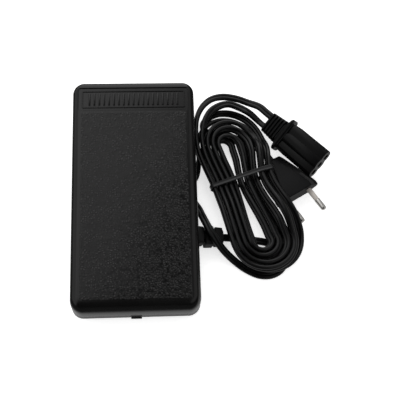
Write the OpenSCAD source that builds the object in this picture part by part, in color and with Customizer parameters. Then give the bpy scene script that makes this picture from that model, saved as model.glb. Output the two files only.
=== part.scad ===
// Foot control for a sewing machine: a hinged treadle over a base tray, with its electronics,
// a lead to the machine's three-hole connector and a mains cord to a flat two-pin plug.
// X runs across the pedal, Y from heel to toe, Z up; the feet stand on Z = 0.

/* [Treadle] */
// Width of the treadle across its skirt
treadle_w = 84; // [80:1:90]
// Length of the treadle from heel to toe
treadle_l = 160; // [156:1:170]
// Height of the treadle's top at the heel edge
heel_h = 26; // [25.5:0.5:28]
// Height of the treadle's top at the toe edge, at rest
toe_h = 41; // [40:0.5:44]
// Depth of the skirt below the top
skirt_depth = 20; // [18:0.5:21]
// Wall of the treadle
treadle_wall = 2.4; // [2:0.1:2.6]
// Corner radius of the treadle in plan
corner_r = 8; // [7:0.5:10]
// Rounding of the treadle's upper edge
edge_r = 5; // [4:0.5:6]
// Length of the recessed panel at the toe
panel_l = 76; // [60:1:78]
// Width of the recessed panel
panel_w = 17; // [14:0.5:18]
// Depth of the recessed panel
panel_depth = 0.8; // [0.5:0.1:1.2]
// Distance from the toe edge to the recessed panel
panel_inset = 5.5; // [5:0.5:8]
// Number of upright ribs in the panel
rib_count = 19; // [9:1:19]
// Width of the stiffening ribs below the treadle
stiff_w = 1.4; // [1:0.1:2]
// Depth of the stiffening ribs below the treadle
stiff_d = 1; // [0.6:0.1:1.2]

/* [Hinge] */
// Distance from the heel edge to the hinge axis
hinge_inset = 14; // [13:0.5:15]
// Height of the hinge axis
hinge_z = 12; // [11:0.5:12.5]
// Diameter of the hinge rod
rod_d = 4; // [3:0.25:4.5]
// Running clearance round the hinge rod
rod_gap = 0.06; // [0.03:0.01:0.09]
// Thickness of a treadle ear
ear_t = 3; // [2.5:0.25:3.25]
// Width of a snap cradle on the base
cradle_t = 4; // [3:0.5:5]
// Treadle travel in degrees
travel = 6; // [4:0.5:6]

/* [Base] */
// Gap between the treadle's skirt and the base
side_gap = 0.8; // [0.6:0.1:1]
// Extra gap at the heel, where the skirt swings
heel_gap = 1.9; // [1.7:0.1:2.2]
// Wall of the base tray
base_wall = 2.2; // [1.8:0.1:2.4]
// Floor of the base tray
base_floor = 2.2; // [1.8:0.1:2.6]
// Height of the base tray's rim
base_h = 21.5; // [21:0.25:22]
// Width of the tongue at the heel
tongue_w = 7; // [5:0.5:10]
// Height of the rubber feet
foot_h = 4; // [3.8:0.1:4.5]
// Diameter of a rubber foot
foot_d = 13; // [10:0.5:14]
// Distance from the treadle's side to the middle of a foot
foot_side = 13.5; // [13:0.5:15]
// Distance from the treadle's end to the middle of a foot
foot_end = 16; // [15:0.5:20]

/* [Cover] */
// Thickness of the inner cover
cover_t = 2; // [1.8:0.1:2.2]
// Clearance round the inner cover
cover_gap = 0.3; // [0.2:0.1:0.5]
// Diameter of the cover screws' shanks
screw_d = 2.4; // [2:0.1:2.8]
// Outer diameter of the screw posts
post_d = 7; // [6:0.25:8]
// Height of the rubber stop buffers above the cover
buffer_h = 1.5; // [1:0.1:1.6]

/* [Springs] */
// Outer diameter of the treadle springs
spring_d = 9; // [8:0.25:9.5]
// Wire of the treadle springs
spring_wire = 0.9; // [0.7:0.1:1.1]
// Turns of the treadle springs
spring_turns = 8; // [6:1:9]
// Distance from the treadle's side to the treadle springs
spring_side = 20; // [19:0.5:22]
// Distance from the toe edge to the treadle springs
spring_inset = 21; // [19:0.5:22]

/* [Wiper] */
// Width of the sliding wiper carrier
carrier_w = 11; // [10:0.25:12]
// Height of the wiper carrier
carrier_h = 13.2; // [12.5:0.1:13.5]
// Lengthways place of the wiper carrier
carrier_y = 20; // [18:0.5:22]
// Sliding clearance round the carrier
carrier_gap = 0.2; // [0.15:0.05:0.3]
// Outer diameter of the carrier's spring
wiper_spring_d = 6.2; // [5.8:0.1:6.6]
// Height of the boss below the treadle that meets the carrier
pad_h = 2.2; // [1.8:0.1:2.6]

/* [Circuit board] */
// Thickness of the boards
board_t = 1.6; // [1.2:0.1:1.8]
// Height of the bosses below the circuit board
board_lift = 3; // [2.5:0.25:3.5]
// Width of the circuit board
board_w = 42; // [40:1:43]
// Length of the circuit board
board_l = 52; // [50:1:53]

/* [Components] */
// Length of the film capacitor
film_l = 18; // [14:0.5:20]
// Width of the film capacitor
film_w = 7.5; // [6:0.25:8.5]
// Height of the film capacitor
film_h = 8; // [6:0.25:8.25]
// Length of the timing capacitor
timing_l = 7.2; // [5:0.2:7.6]
// Width of the timing capacitor
timing_w = 3; // [2.5:0.1:3.2]
// Height of the timing capacitor
timing_h = 6.4; // [5:0.2:8]
// Width of the heat sink
sink_w = 16; // [14:0.5:17]
// Length of the heat sink
sink_l = 17; // [16.5:0.5:18]
// Height of the heat sink's walls
sink_h = 7; // [5:0.25:8]
// Width of the triac's case
triac_w = 10; // [9.5:0.1:10.4]
// Length of the triac's case
triac_l = 9; // [8.5:0.1:9.2]
// Thickness of the triac's case
triac_t = 4.4; // [4:0.1:4.7]
// Outer diameter of the choke's core
choke_d = 14.4; // [12:0.2:15]
// Height of the choke's core
choke_h = 5; // [4:0.25:5.5]
// Length of a resistor's body
resistor_l = 6.4; // [5:0.2:6.8]
// Diameter of a resistor's body
resistor_d = 2.4; // [1.8:0.1:2.6]
// Width of the trimmer
trimmer_w = 6.8; // [5:0.2:7]
// Width of the terminal block
block_w = 10; // [8:0.5:11]
// Pitch of the terminal block's ways
block_pitch = 7; // [6:0.25:7.5]
// Height of the terminal block
block_h = 8; // [7.5:0.25:8.25]
// Width of the resistor board
track_w = 22; // [20:0.5:24]

/* [Cord boot] */
// Width of the boot at the pedal
boot_w = 12; // [11:0.5:13]
// Height of the boot at the pedal
boot_h = 10.4; // [9.5:0.2:11]
// Length of the boot outside the base
boot_l = 21; // [20:0.5:21.5]
// Lengthways place of the boot
boot_y = -25; // [-26:0.5:-24]

/* [Cord] */
// Width of the flat two-core cord
cord_w = 5.4; // [5:0.1:5.6]
// Thickness of the flat two-core cord
cord_t = 3.2; // [2.8:0.1:3.3]
// Least gap between neighbouring turns of the hank
turn_gap = 0.65; // [0.5:0.05:0.7]
// Roll of the cord on the hank's right side, where it lies flattest
right_roll = 35; // [30:1:45]
// Height of the hank's lowest turns above the floor
hank_lift = 3.9; // [3.7:0.1:4.2]
// Width of the twist tie
tie_w = 3.2; // [2.5:0.1:4]
// Thickness of the twist tie
tie_t = 0.8; // [0.6:0.1:1]

/* [Connector] */
// Width of the connector's body
conn_w = 23; // [20:0.5:24]
// Thickness of the connector's body
conn_t = 12; // [11:0.25:13]
// Length of the connector's body
conn_body = 34.5; // [33:0.5:35]
// Length of the connector's ribbed strain relief
conn_relief = 13; // [12:0.5:14]
// Radius of the holes in the connector
socket_r = 1.25; // [1:0.05:1.4]
// Spacing of the holes in the connector
socket_pitch = 6.8; // [6.2:0.1:7]

/* [Plug] */
// Width of the plug's face
plug_w = 35; // [33:0.5:36]
// Thickness of the plug's face
plug_t = 13; // [12.5:0.1:13.4]
// Length of the plug's body
plug_l = 33; // [31:0.5:34]
// Thickness of the plug's body at the cord
plug_rear_t = 8; // [7:0.25:8.5]
// Diameter of the pins
pin_d = 4; // [3.6:0.1:4.2]
// Length of the pins outside the plug
pin_l = 19; // [18:0.5:20]
// Length of the sleeve on each pin
sleeve_l = 10; // [8:0.5:11]
// Spacing of the pins
pin_pitch = 18.6; // [17.5:0.1:19]

/* [Hidden] */
$fn = 48;
eps = 0.01;
black = [0.09, 0.09, 0.1];
dark = [0.16, 0.16, 0.17];
steel = [0.72, 0.72, 0.74];
brass = [0.8, 0.66, 0.32];

// ---- Treadle geometry --------------------------------------------------------------------
slope = atan((toe_h - heel_h) / treadle_l);
hinge_y = -treadle_l / 2 + hinge_inset;
function top_z(y) = heel_h + (y + treadle_l / 2) * tan(slope);
function under_z(y) = top_z(y) - treadle_wall / cos(slope);
function skirt_z(y) = top_z(y) - skirt_depth;
spring_x = treadle_w / 2 - spring_side;
spring_y = treadle_l / 2 - spring_inset;
ear_x = treadle_w / 2 - 9;
ear_r = rod_d / 2 + 2.5;
pad_z = under_z(carrier_y) - pad_h;

// ---- Base geometry -----------------------------------------------------------------------
base_x = treadle_w / 2 - treadle_wall - side_gap;
base_y0 = -treadle_l / 2 + treadle_wall + heel_gap;
base_y1 = treadle_l / 2 - treadle_wall - side_gap;
base_r = corner_r - treadle_wall - side_gap;
tongue_l = heel_gap + treadle_wall + 0.4;
inner_x = base_x - base_wall;
floor_z = foot_h + base_floor;
rod_half = inner_x - 0.3;
cradle_x = treadle_w / 2 - 21.5;
foot_x = treadle_w / 2 - foot_side;
foot_y = treadle_l / 2 - foot_end;
post_x = inner_x - 6.6;
posts = [for (sy = [hinge_y + 16, spring_y - 13], sx = [-1, 1]) [sx * post_x, sy]];
cover_z = base_h - cover_t;
cover_y0 = hinge_y + ear_r + 5.5;
foot_stem_d = 4;
foot_cap_d = 6;
foot_cap_h = 1.4;

// ---- Wiper -------------------------------------------------------------------------------
carrier_top = pad_z - 0.3;
carrier_z0 = carrier_top - carrier_h;
carrier_bore_r = wiper_spring_d / 2 + 0.5;
carrier_roof = 3;
collar_t = 1.6;
collar_z = 12.5;
arm_w = 4;
arm_t = 2;
arm_y = carrier_y + carrier_w / 2 + 4.6;
finger_t = 0.4;
track_y = arm_y + finger_t + 0.15;

// ---- Circuit board -----------------------------------------------------------------------
board_x0 = -inner_x + 2.6;
board_y0 = hinge_y + 23;
board_z = floor_z + board_lift;
board_top = board_z + board_t;
board_hole_inset = 3.5;
board_holes = [for (i = [0, 1], j = [0, 1]) [
    board_x0 + board_hole_inset + i * (board_w - 2 * board_hole_inset),
    board_y0 + board_hole_inset + j * (board_l - 2 * board_hole_inset)
]];
board_screw_d = 2;

// ---- Cord boot ---------------------------------------------------------------------------
boot_z = 9.2;
boot_droop = 11.5;
boot_neck = 1.6;
boot_x = base_x + 0.3;
boot_end = [boot_x + boot_l * cos(boot_droop), boot_y, boot_z - boot_l * sin(boot_droop)];
clamp_x = inner_x - 12.6;

// ---- Hank --------------------------------------------------------------------------------
// The hank lies beside the pedal; its own axis leans from Y towards -X.
hank_at = [treadle_w / 2 + 41.4, 14.5];
hank_lean = 16;
run_low = -43;
run_high = 31.5;
top_stretch = 1.15;
columns = 4;
loop_x = -9.65;
loop_r = 5.15;
edge_step = cord_t + turn_gap;
flat_step = edge_step + (cord_w - cord_t) * cos(right_roll);
step_mean = (flat_step + edge_step) / 2;
step_swing = (flat_step - edge_step) / 2;
waist_above = 30;
waist_below = 43;
waist_roll = 0.32;
waist_in_left = 1.6;
waist_in_right = 3.6;
function smooth(v) = let (c = max(0, min(1, v))) c * c * (3 - 2 * c);
function norm1(v) = v / norm(v);
function to_plan(w, s) = [
    hank_at[0] - s * sin(hank_lean) + w * cos(hank_lean),
    hank_at[1] + s * cos(hank_lean) + w * sin(hank_lean)
];
// How far the hank is drawn in at s along its axis
function waist(s) = let (half = s < 0 ? waist_below : waist_above)
    abs(s) < half ? (1 + cos(180 * s / half)) / 2 : 0;
// The hank rides over the plug on its right and over the lead's first stretch on its left
plug_rise = 11;
lead_rise = 2.6;
function over_plug(w, s) = plug_rise * smooth((w - 1) / 12) * smooth((s + 52) / 26)
    * smooth((36 - s) / 24);
function over_lead(w, s) = lead_rise * smooth((-13 - w) / 8) * smooth((s + 60) / 18)
    * smooth((-4 - s) / 16);
function ground(w, s) = hank_lift + over_plug(w, s) + over_lead(w, s);
// Stations run 24 to a turn: 0-4 up the left run, 4-12 round the top,
// 12-16 down the right run, 16-24 round the bottom.
function part_of(g) = g - 24 * floor(g / 24);
function bends(g) = let (p = part_of(g))
    2 * floor(g / 24) + max(0, min(1, (p - 4) / 8)) + max(0, min(1, (p - 16) / 8));
function turn_angle(g) = let (p = part_of(g))
    p < 4 ? 180 : p < 12 ? 180 - 22.5 * (p - 4) : p < 16 ? 0 : -22.5 * (p - 16);
function along(g) = let (p = part_of(g), run = run_high - run_low)
    p < 4 ? run_low + run * p / 4 : p < 12 ? run_high
    : p < 16 ? run_high - run * (p - 12) / 4 : run_low;
// Cosine of the cord's roll: on edge on the left, flattest on the right
function roll_cos(g) = let (p = part_of(g))
    cos(right_roll) * (1 + cos(turn_angle(g))) / 2
    - (p >= 12 && p <= 16 ? waist_roll * waist(along(g)) : 0);
function roll_of(g) = acos(max(-1, min(1, roll_cos(g))));
// first: bends that the cord still has before its innermost run
function column(g, first) = abs(first - bends(g));
function layer(g, first) = let (from = 12 * first)
    smooth((g - from - 0.5) / 3);
function hank_point(g, first) = let (
    u = column(g, first),
    a = turn_angle(g),
    p = part_of(g),
    m = waist(along(g)),
    r = loop_r + step_mean * u,
    pull = p <= 4 ? waist_in_left * m
        : p >= 12 && p <= 16 ? -(waist_in_right + (cord_w - cord_t) * waist_roll * u) * m : 0,
    w = loop_x + step_swing * u + r * cos(a) + pull,
    s = along(g) + (p > 4 && p < 12 ? top_stretch * r * sin(a) : p > 16 ? r * sin(a) : 0),
    sr = sin(roll_of(g)),
    half_high = (cord_t + (cord_w - cord_t) * sr) / 2,
    z = ground(w, s) + half_high + layer(g, first) * (2 * half_high + turn_gap),
    q = to_plan(w, s)
) [q[0], q[1], z, roll_of(g)];
function hank_path(from, to, first) = [for (g = [from:1:to]) hank_point(g, first)];
lead_first = 4;
mains_first = 5;
lead_hank = hank_path(4, 100, lead_first);
mains_hank = hank_path(8, 100, mains_first);

// ---- Flat cord sections ------------------------------------------------------------------
// A section is a list of [across the flat, through the flat].
function flat_hex() = let (x = cord_w / 2, k = cord_w / 2 - 0.42 * cord_t, y = cord_t / 2)
    [[x, 0], [k, y], [-k, y], [-x, 0], [-k, -y], [k, -y]];
function flat_oct() = let (x = cord_w / 2, k = cord_w / 2 - 0.3 * cord_t, y = cord_t / 2,
    j = 0.2 * cord_t)
    [[x, j], [k, y], [-k, y], [-x, j], [-x, -j], [-k, -y], [k, -y], [x, -j]];
function xyz(p) = [p[0], p[1], p[2]];
function with_roll(p, r) = [p[0], p[1], p[2], r];
function heading(path, i) = norm1(xyz(path[min(len(path) - 1, i + 1)]) - xyz(path[max(0, i - 1)]));
function ring(path, i, section, first_dir, last_dir) = let (
    t = i == 0 && first_dir != undef ? first_dir
        : i == len(path) - 1 && last_dir != undef ? last_dir : heading(path, i),
    side = norm1(cross(t, [0, 0, 1])),
    up = cross(side, t),
    r = path[i][3],
    across = side * cos(r) + up * sin(r),
    through = up * cos(r) - side * sin(r)
) [for (q = section) xyz(path[i]) + across * q[0] + through * q[1]];
function rings(path, section, first_dir, last_dir) =
    [for (i = [0:len(path) - 1]) ring(path, i, section, first_dir, last_dir)];
module tube(loops) {
    n = len(loops[0]);
    last = (len(loops) - 1) * n;
    polyhedron(
        points = [for (r = loops) each r],
        faces = concat(
            [for (i = [0:len(loops) - 2], k = [0:n - 1]) let (
                a = i * n + k, b = i * n + (k + 1) % n
            ) each [[a, b, b + n], [a, b + n, a + n]]],
            [for (k = [1:n - 2]) each [[0, k + 1, k], [last, last + k, last + k + 1]]]
        ),
        convexity = 12
    );
}
// Least distance between ring points of two paths, leaving out near neighbours on one cord
function least(a, b, same) = let (
    ra = rings(a, flat_oct()),
    rb = rings(b, flat_oct())
) min([for (i = [0:len(a) - 1], j = [same ? min(len(b), i + 8) : 0:1:len(b) - 1])
    if (norm(xyz(a[i]) - xyz(b[j])) < 11) each [for (p = ra[i], q = rb[j]) norm(p - q)]]);

// ---- Free stretches of cord: [x, y, z, roll], with x counted from the treadle's side -------
function beside(list) = [for (p = list) [p[0] + treadle_w / 2, p[1], p[2], p[3]]];
lead_out = concat([with_roll(boot_end, 0)], beside([
    [23.5, -25, 3.7, 0], [31, -25.5, 2.2, 0], [40, -26.5, 1.8, 0], [49, -28.5, 1.8, 0],
    [57, -33, 1.8, 0], [60, -40, 1.8, 0], [57, -47.4, 1.8, 0], [50.5, -51.6, 1.8, 0],
    [42, -51.8, 1.8, 0], [33.4, -47.8, 1.8, 0], [25.4, -41.8, 2.8, 0], [17.4, -35.4, 8, 0],
    [11, -28.2, 14.2, 0], [6.8, -20, 14.8, 0], [3.9, -11, 10.4, 0], [1.9, -2.2, 3.6, 0],
    [-1.6, 4.4, 1.8, 0], [-4.2, 10.8, 1.8, 0], [-2.8, 17.6, 1.8, 0], [1, 23.6, 2.4, 20],
    [3, 31, 4.4, 60]
]), [lead_hank[0]]);
// Connector: the middle of its cord end, its heading, its slope and its roll onto one side
conn_at = [treadle_w / 2 + 55.4, 62, 12.4];
conn_turn = -50;
conn_pitch = 7;
conn_roll = 32;
conn_inlet = 4.3;
conn_dir = [cos(conn_turn) * cos(conn_pitch), sin(conn_turn) * cos(conn_pitch), sin(conn_pitch)];
conn_side = [-sin(conn_turn), cos(conn_turn), 0] * cos(conn_roll)
    + cross(conn_dir, [-sin(conn_turn), cos(conn_turn), 0]) * sin(conn_roll);
function inlet(k) = conn_at + conn_side * k * conn_inlet;
function before(p, dir, d) = [for (v = p - dir * d) v];
lead_back = concat(
    [lead_hank[len(lead_hank) - 1]],
    beside([[2.2, 47, 12.6, 88], [2.2, 57, 12.6, 86], [3.6, 67, 12.4, 68], [7.8, 75.8, 12.2, 40],
     [14.5, 82, 12, 15], [23, 84, 12, 0], [32.6, 82.6, 11.8, 0], [42, 79, 11.4, 0],
     [49.4, 74.8, 12.8, -12]]),
    [with_roll(before(inlet(1), conn_dir, 6), -conn_roll), with_roll(inlet(1), -conn_roll)]
);
mains_back = concat(
    [mains_hank[len(mains_hank) - 1]],
    beside([[6.1, 48, 12.6, 88], [6.8, 56, 12.6, 84], [9.6, 65, 12.6, 62], [15.4, 73, 12.6, 30],
     [26, 77.3, 12.8, 0], [35, 74.2, 12.6, 0], [42.2, 69.4, 12.4, -12]]),
    [with_roll(before(inlet(-1), conn_dir, 6), -conn_roll), with_roll(inlet(-1), -conn_roll)]
);
// Plug: the middle of its rear on the floor, and its heading
plug_at = [treadle_w / 2 + 56.3, 33.7];
plug_turn = -60;
plug_tilt = atan((plug_t - plug_rear_t) / 2 / plug_l);
plug_dir = [cos(plug_turn) * cos(plug_tilt), sin(plug_turn) * cos(plug_tilt), sin(plug_tilt)];
plug_rear = [plug_at[0], plug_at[1], plug_rear_t / 2];
mains_out = concat(
    [with_roll(plug_rear, 0), with_roll(before(plug_rear, plug_dir, 6), 0)],
    beside([[48, 45.4, 2, 0], [39, 50.6, 1.8, 0], [28, 53, 1.8, 0], [17.5, 56, 1.8, 0],
     [10, 60.4, 1.8, 0], [8.4, 65.8, 2.4, 15], [12.6, 70.4, 5, 45]]),
    [mains_hank[0]]
);

// ---- Shared shapes -----------------------------------------------------------------------
module round_rect(x, y, r) {
    for (sx = [-1, 1], sy = [-1, 1])
        translate([sx * (x / 2 - r), sy * (y / 2 - r)]) circle(r);
    square([x - 2 * r, y], center = true);
    square([x, y - 2 * r], center = true);
}
module on_treadle(y) {
    translate([0, y, top_z(y)]) rotate([slope, 0, 0]) children();
}
// The treadle's outer form, drawn in by inset on every side
module treadle_form(inset, low) {
    r = corner_r - inset;
    e = max(0.4, edge_r - inset);
    px = treadle_w / 2 - corner_r;
    py = treadle_l / 2 - corner_r;
    hull() {
        for (sx = [-1, 1], sy = [-1, 1]) {
            translate([sx * px, sy * py, top_z(sy * py)]) rotate([slope, 0, 0])
                translate([0, 0, -inset - e])
                    rotate_extrude($fn = 32) intersection() {
                        translate([r - e, 0]) circle(e, $fn = 24);
                        translate([0, -e]) square([r + 1, 2 * e]);
                    }
            translate([sx * px, sy * py, top_z(sy * py) - low]) rotate([slope, 0, 0])
                cylinder(h = 0.5, r = r, $fn = 32);
        }
    }
}
module screw(d, head_d, head_h, length) {
    translate([0, 0, -length]) cylinder(h = length + eps, d = d);
    cylinder(h = head_h, d = head_d);
}
module slotted_screw(d, head_d, head_h, length) {
    difference() {
        screw(d, head_d, head_h, length);
        translate([0, 0, head_h]) cube([head_d + 1, head_d / 6, head_h], center = true);
    }
}
// A helical spring as one tube of 8 rings to a turn, with closed ends
module spring(od, wire, turns, height, rings_per_turn = 8, sides = 6) {
    r = (od - wire) / 2;
    n = turns * rings_per_turn;
    function lift(t) = wire / 2 + (height - wire) * (t < 1 ? 0.04 * t
        : t > turns - 1 ? 1 - 0.04 * (turns - t)
        : 0.04 + 0.92 * (t - 1) / (turns - 2));
    loops = [for (i = [0:n]) let (t = i / rings_per_turn, a = 360 * t)
        [for (k = [0:sides - 1]) let (b = -360 * k / sides)
            [(r + wire / 2 * cos(b)) * cos(a), (r + wire / 2 * cos(b)) * sin(a),
             lift(t) + wire / 2 * sin(b)]]];
    tube(loops);
}

// ---- Pedal -------------------------------------------------------------------------------
module panel_ribs() {
    pitch = (panel_l - 12) / rib_count;
    frame_l = panel_l - 5;
    frame_w = panel_w - 4;
    difference() {
        cube([frame_l, frame_w, 2 * panel_depth - 0.4], center = true);
        cube([frame_l - 1.6, frame_w - 1.6, 3 * panel_depth], center = true);
    }
    for (i = [0:rib_count - 1])
        translate([(i - (rib_count - 1) / 2) * pitch, 0, 0])
            cube([pitch * 0.42, frame_w - 4, 2 * panel_depth - 0.3], center = true);
}
module treadle_ear(side) {
    x = side * (ear_x + ear_t / 2);
    top = under_z(hinge_y) + 1;
    translate([x, hinge_y, hinge_z]) rotate([0, 90, 0]) cylinder(h = ear_t, r = ear_r, center = true);
    translate([x, hinge_y, 0]) rotate([90, 0, 90])
        linear_extrude(ear_t, center = true)
            polygon([[-ear_r, hinge_z], [ear_r, hinge_z], [ear_r + 4, top], [-ear_r - 2, top]]);
}
module treadle() {
    notch_w = boot_w + 3;
    notch_top = boot_z + boot_h / 2 + (boot_y - hinge_y) * sin(travel) + 1.4;
    panel_y = treadle_l / 2 - panel_inset - panel_w / 2;
    color(black) difference() {
        union() {
            difference() {
                treadle_form(0, skirt_depth);
                treadle_form(treadle_wall, skirt_depth + 1);
            }
            // Ribs under the top
            for (x = [-28, -14, 14, 28])
                translate([0, 0, under_z(0)]) rotate([slope, 0, 0])
                    translate([x, -2, 0.2 - stiff_d / 2])
                        cube([stiff_w, treadle_l - 40, stiff_d + 0.4], center = true);
            for (y = [-40, -12, 8, 34])
                translate([0, y, under_z(y) + 0.2 - stiff_d / 2]) rotate([slope, 0, 0])
                    cube([treadle_w - 14, stiff_w, stiff_d + 0.4], center = true);
            // Boss that pushes the wiper carrier
            translate([0, carrier_y, pad_z]) rotate([travel / 2, 0, 0])
                cylinder(h = pad_h + 1, d = 7);
            // Seats of the two springs
            for (sx = [-1, 1]) translate([sx * spring_x, spring_y, under_z(spring_y) - 1.2]) {
                cylinder(h = 2.2, d = spring_d + 2);
                translate([0, 0, -4]) cylinder(h = 5, d = spring_d - 2 * spring_wire - 0.6);
            }
            for (side = [-1, 1]) treadle_ear(side);
        }
        // Recessed panel
        on_treadle(panel_y) translate([0, 0, -panel_depth])
            linear_extrude(panel_depth + 1) round_rect(panel_l, panel_w, 1.5);
        // Bores of the ears
        translate([0, hinge_y, hinge_z]) rotate([0, 90, 0])
            cylinder(h = treadle_w - 2 * treadle_wall - 1, r = rod_d / 2 + rod_gap, center = true);
        // Notch for the cord boot
        translate([treadle_w / 2 - treadle_wall - 1.5, boot_y - notch_w / 2, -1])
            cube([treadle_wall + 3, notch_w, notch_top + 1]);
    }
    color(black) on_treadle(panel_y) translate([0, 0, -panel_depth]) panel_ribs();
}
module base_outline(inset) {
    r = base_r - inset;
    for (sx = [-1, 1], y = [base_y0 + base_r, base_y1 - base_r])
        translate([sx * (base_x - base_r), y]) circle(r, $fn = 32);
}
module base_block(inset) {
    translate([0, (base_y0 + base_y1) / 2])
        round_rect(2 * (base_x - inset), base_y1 - base_y0 - 2 * inset, base_r - inset);
}
module base_tray() {
    chamfer = 1.2;
    slot_w = boot_w - 2 * boot_neck + 0.2;
    color(dark) difference() {
        union() {
            difference() {
                hull() {
                    translate([0, 0, foot_h]) linear_extrude(0.2) base_outline(chamfer);
                    translate([0, 0, foot_h + chamfer])
                        linear_extrude(base_h - foot_h - chamfer) base_outline(0);
                }
                translate([0, 0, floor_z]) linear_extrude(base_h) base_block(base_wall);
            }
            // Posts for the cover, bosses for the board
            for (p = posts) translate([p[0], p[1], floor_z - eps])
                cylinder(h = cover_z - floor_z + eps, d = post_d);
            for (p = board_holes) translate([p[0], p[1], floor_z - eps])
                cylinder(h = board_lift + eps, d = 5);
            // Cradles of the hinge rod
            for (sx = [-1, 1]) translate([sx * (cradle_x + cradle_t / 2), hinge_y, floor_z - eps])
                translate([-cradle_t / 2, -ear_r, 0])
                    cube([cradle_t, 2 * ear_r, hinge_z - floor_z + 1.4]);
            // Spigots in the springs
            for (sx = [-1, 1]) translate([sx * spring_x, spring_y, floor_z - eps])
                cylinder(h = 5, d = spring_d - 2 * spring_wire - 0.6);
            translate([0, carrier_y, floor_z - eps]) cylinder(h = 5, d = wiper_spring_d - 2);
            // Grooved ribs that hold the resistor board
            for (sx = [-1, 1]) translate([sx * (track_w / 2 + 0.4) - 1.6, track_y - 1.6, floor_z - eps])
                cube([3.2, board_t + 3, 6]);
            // Tongue that shows below the skirt at the heel
            translate([-tongue_w / 2, base_y0 - tongue_l, foot_h])
                cube([tongue_w, tongue_l + base_wall, skirt_z(-treadle_l / 2) - foot_h - 0.4]);
            // Cord clamp pedestal
            translate([clamp_x - 4, boot_y - 10, floor_z - eps])
                cube([8, 20, boot_z - cord_t / 2 - floor_z]);
        }
        for (p = posts) translate([p[0], p[1], floor_z + 2]) cylinder(h = base_h, d = screw_d + 0.1);
        for (p = board_holes) translate([p[0], p[1], foot_h + 1])
            cylinder(h = base_h, d = board_screw_d + 0.1);
        translate([0, hinge_y, hinge_z]) rotate([0, 90, 0])
            cylinder(h = 2 * (cradle_x + cradle_t + 1), r = rod_d / 2 + 0.05, center = true);
        for (sx = [-1, 1]) translate([sx * (cradle_x + cradle_t / 2), hinge_y, hinge_z + 3])
            cube([cradle_t + 1, rod_d - 0.8, 6], center = true);
        for (sx = [-1, 1], sy = [-1, 1]) translate([sx * foot_x, sy * foot_y, foot_h - 1])
            cylinder(h = base_floor + 2, d = foot_stem_d + 0.1);
        translate([0, track_y - 0.05 + (board_t + 0.1) / 2, floor_z + 5])
            cube([track_w + 0.3, board_t + 0.1, 10], center = true);
        translate([base_x - base_wall - 1, boot_y - slot_w / 2, boot_z - boot_h / 2 + boot_neck - 0.1])
            cube([base_wall + 2, slot_w, base_h]);
        for (sy = [-1, 1]) translate([clamp_x, boot_y + sy * 7, floor_z - 1])
            cylinder(h = 12, d = board_screw_d + 0.1);
    }
}
module rubber_feet() {
    color([0.12, 0.12, 0.12]) for (sx = [-1, 1], sy = [-1, 1])
        translate([sx * foot_x, sy * foot_y, 0]) {
            cylinder(h = foot_h, d1 = foot_d - 1.6, d2 = foot_d);
            cylinder(h = floor_z, d = foot_stem_d);
            translate([0, 0, floor_z]) cylinder(h = foot_cap_h, d1 = foot_cap_d, d2 = foot_stem_d);
        }
}
module hinge_rod() {
    color(steel) translate([0, hinge_y, hinge_z]) rotate([0, 90, 0])
        cylinder(h = 2 * rod_half, d = rod_d, center = true);
}
module inner_cover() {
    x = 2 * (inner_x - cover_gap);
    y1 = base_y1 - base_wall - cover_gap;
    r = base_r - base_wall - cover_gap;
    bore = carrier_w + 2 * carrier_gap;
    color(dark) difference() {
        union() {
            translate([0, (cover_y0 + y1) / 2, cover_z]) linear_extrude(cover_t)
                round_rect(x, y1 - cover_y0, r);
            translate([-bore / 2 - collar_t, carrier_y - bore / 2 - collar_t, collar_z])
                cube([bore + 2 * collar_t, bore + 2 * collar_t, cover_z - collar_z + eps]);
        }
        translate([-bore / 2, carrier_y - bore / 2, collar_z - 1]) cube([bore, bore, base_h]);
        translate([-arm_w / 2 - 0.4, carrier_y, collar_z - 1])
            cube([arm_w + 0.8, carrier_w, cover_z - collar_z + 1]);
        for (p = posts) translate([p[0], p[1], cover_z - 1]) {
            cylinder(h = cover_t + 2, d = screw_d + 0.2);
            translate([0, 0, 1 + cover_t - 1.2]) cylinder(h = 2, d = 2 * screw_d + 0.2);
        }
        for (sx = [-1, 1]) translate([sx * spring_x, spring_y, cover_z - 1])
            cylinder(h = cover_t + 2, d = spring_d + 3);
        for (sx = [-1, 1]) translate([sx * 10, spring_y, cover_z - 1])
            cylinder(h = cover_t + 2, d = 3.1);
    }
}
module cover_screws() {
    color(steel) for (p = posts) translate([p[0], p[1], base_h - 1.2])
        slotted_screw(screw_d, 2 * screw_d, 1.1, 10);
}
module stop_buffers() {
    color([0.12, 0.12, 0.12]) for (sx = [-1, 1]) translate([sx * 10, spring_y, 0]) {
        translate([0, 0, base_h]) cylinder(h = buffer_h, d1 = 7, d2 = 5.6);
        translate([0, 0, cover_z - 1]) cylinder(h = cover_t + 1 + eps, d = 3);
        translate([0, 0, cover_z - 1.6]) cylinder(h = 1.5, d1 = 3, d2 = 4.2);
    }
}
module treadle_springs() {
    color(steel) for (sx = [-1, 1]) translate([sx * spring_x, spring_y, floor_z + 0.05])
        spring(spring_d, spring_wire, spring_turns, under_z(spring_y) - 1.2 - floor_z - 0.1);
}
module wiper_carrier() {
    crest = carrier_w;
    color([0.85, 0.84, 0.8]) difference() {
        union() {
            intersection() {
                translate([-carrier_w / 2, carrier_y - carrier_w / 2, carrier_z0])
                    cube([carrier_w, carrier_w, carrier_h]);
                translate([0, carrier_y, carrier_top - crest]) union() {
                    rotate([0, 90, 0]) cylinder(h = carrier_w + 1, r = crest, center = true);
                    translate([-carrier_w, -carrier_w, -carrier_h])
                        cube([2 * carrier_w, 2 * carrier_w, carrier_h]);
                }
            }
            translate([-arm_w / 2, carrier_y, carrier_z0])
                cube([arm_w, arm_y - carrier_y, arm_t]);
        }
        translate([0, carrier_y, carrier_z0 - 1])
            cylinder(h = carrier_h - carrier_roof + 1, r = carrier_bore_r);
    }
}
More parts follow.
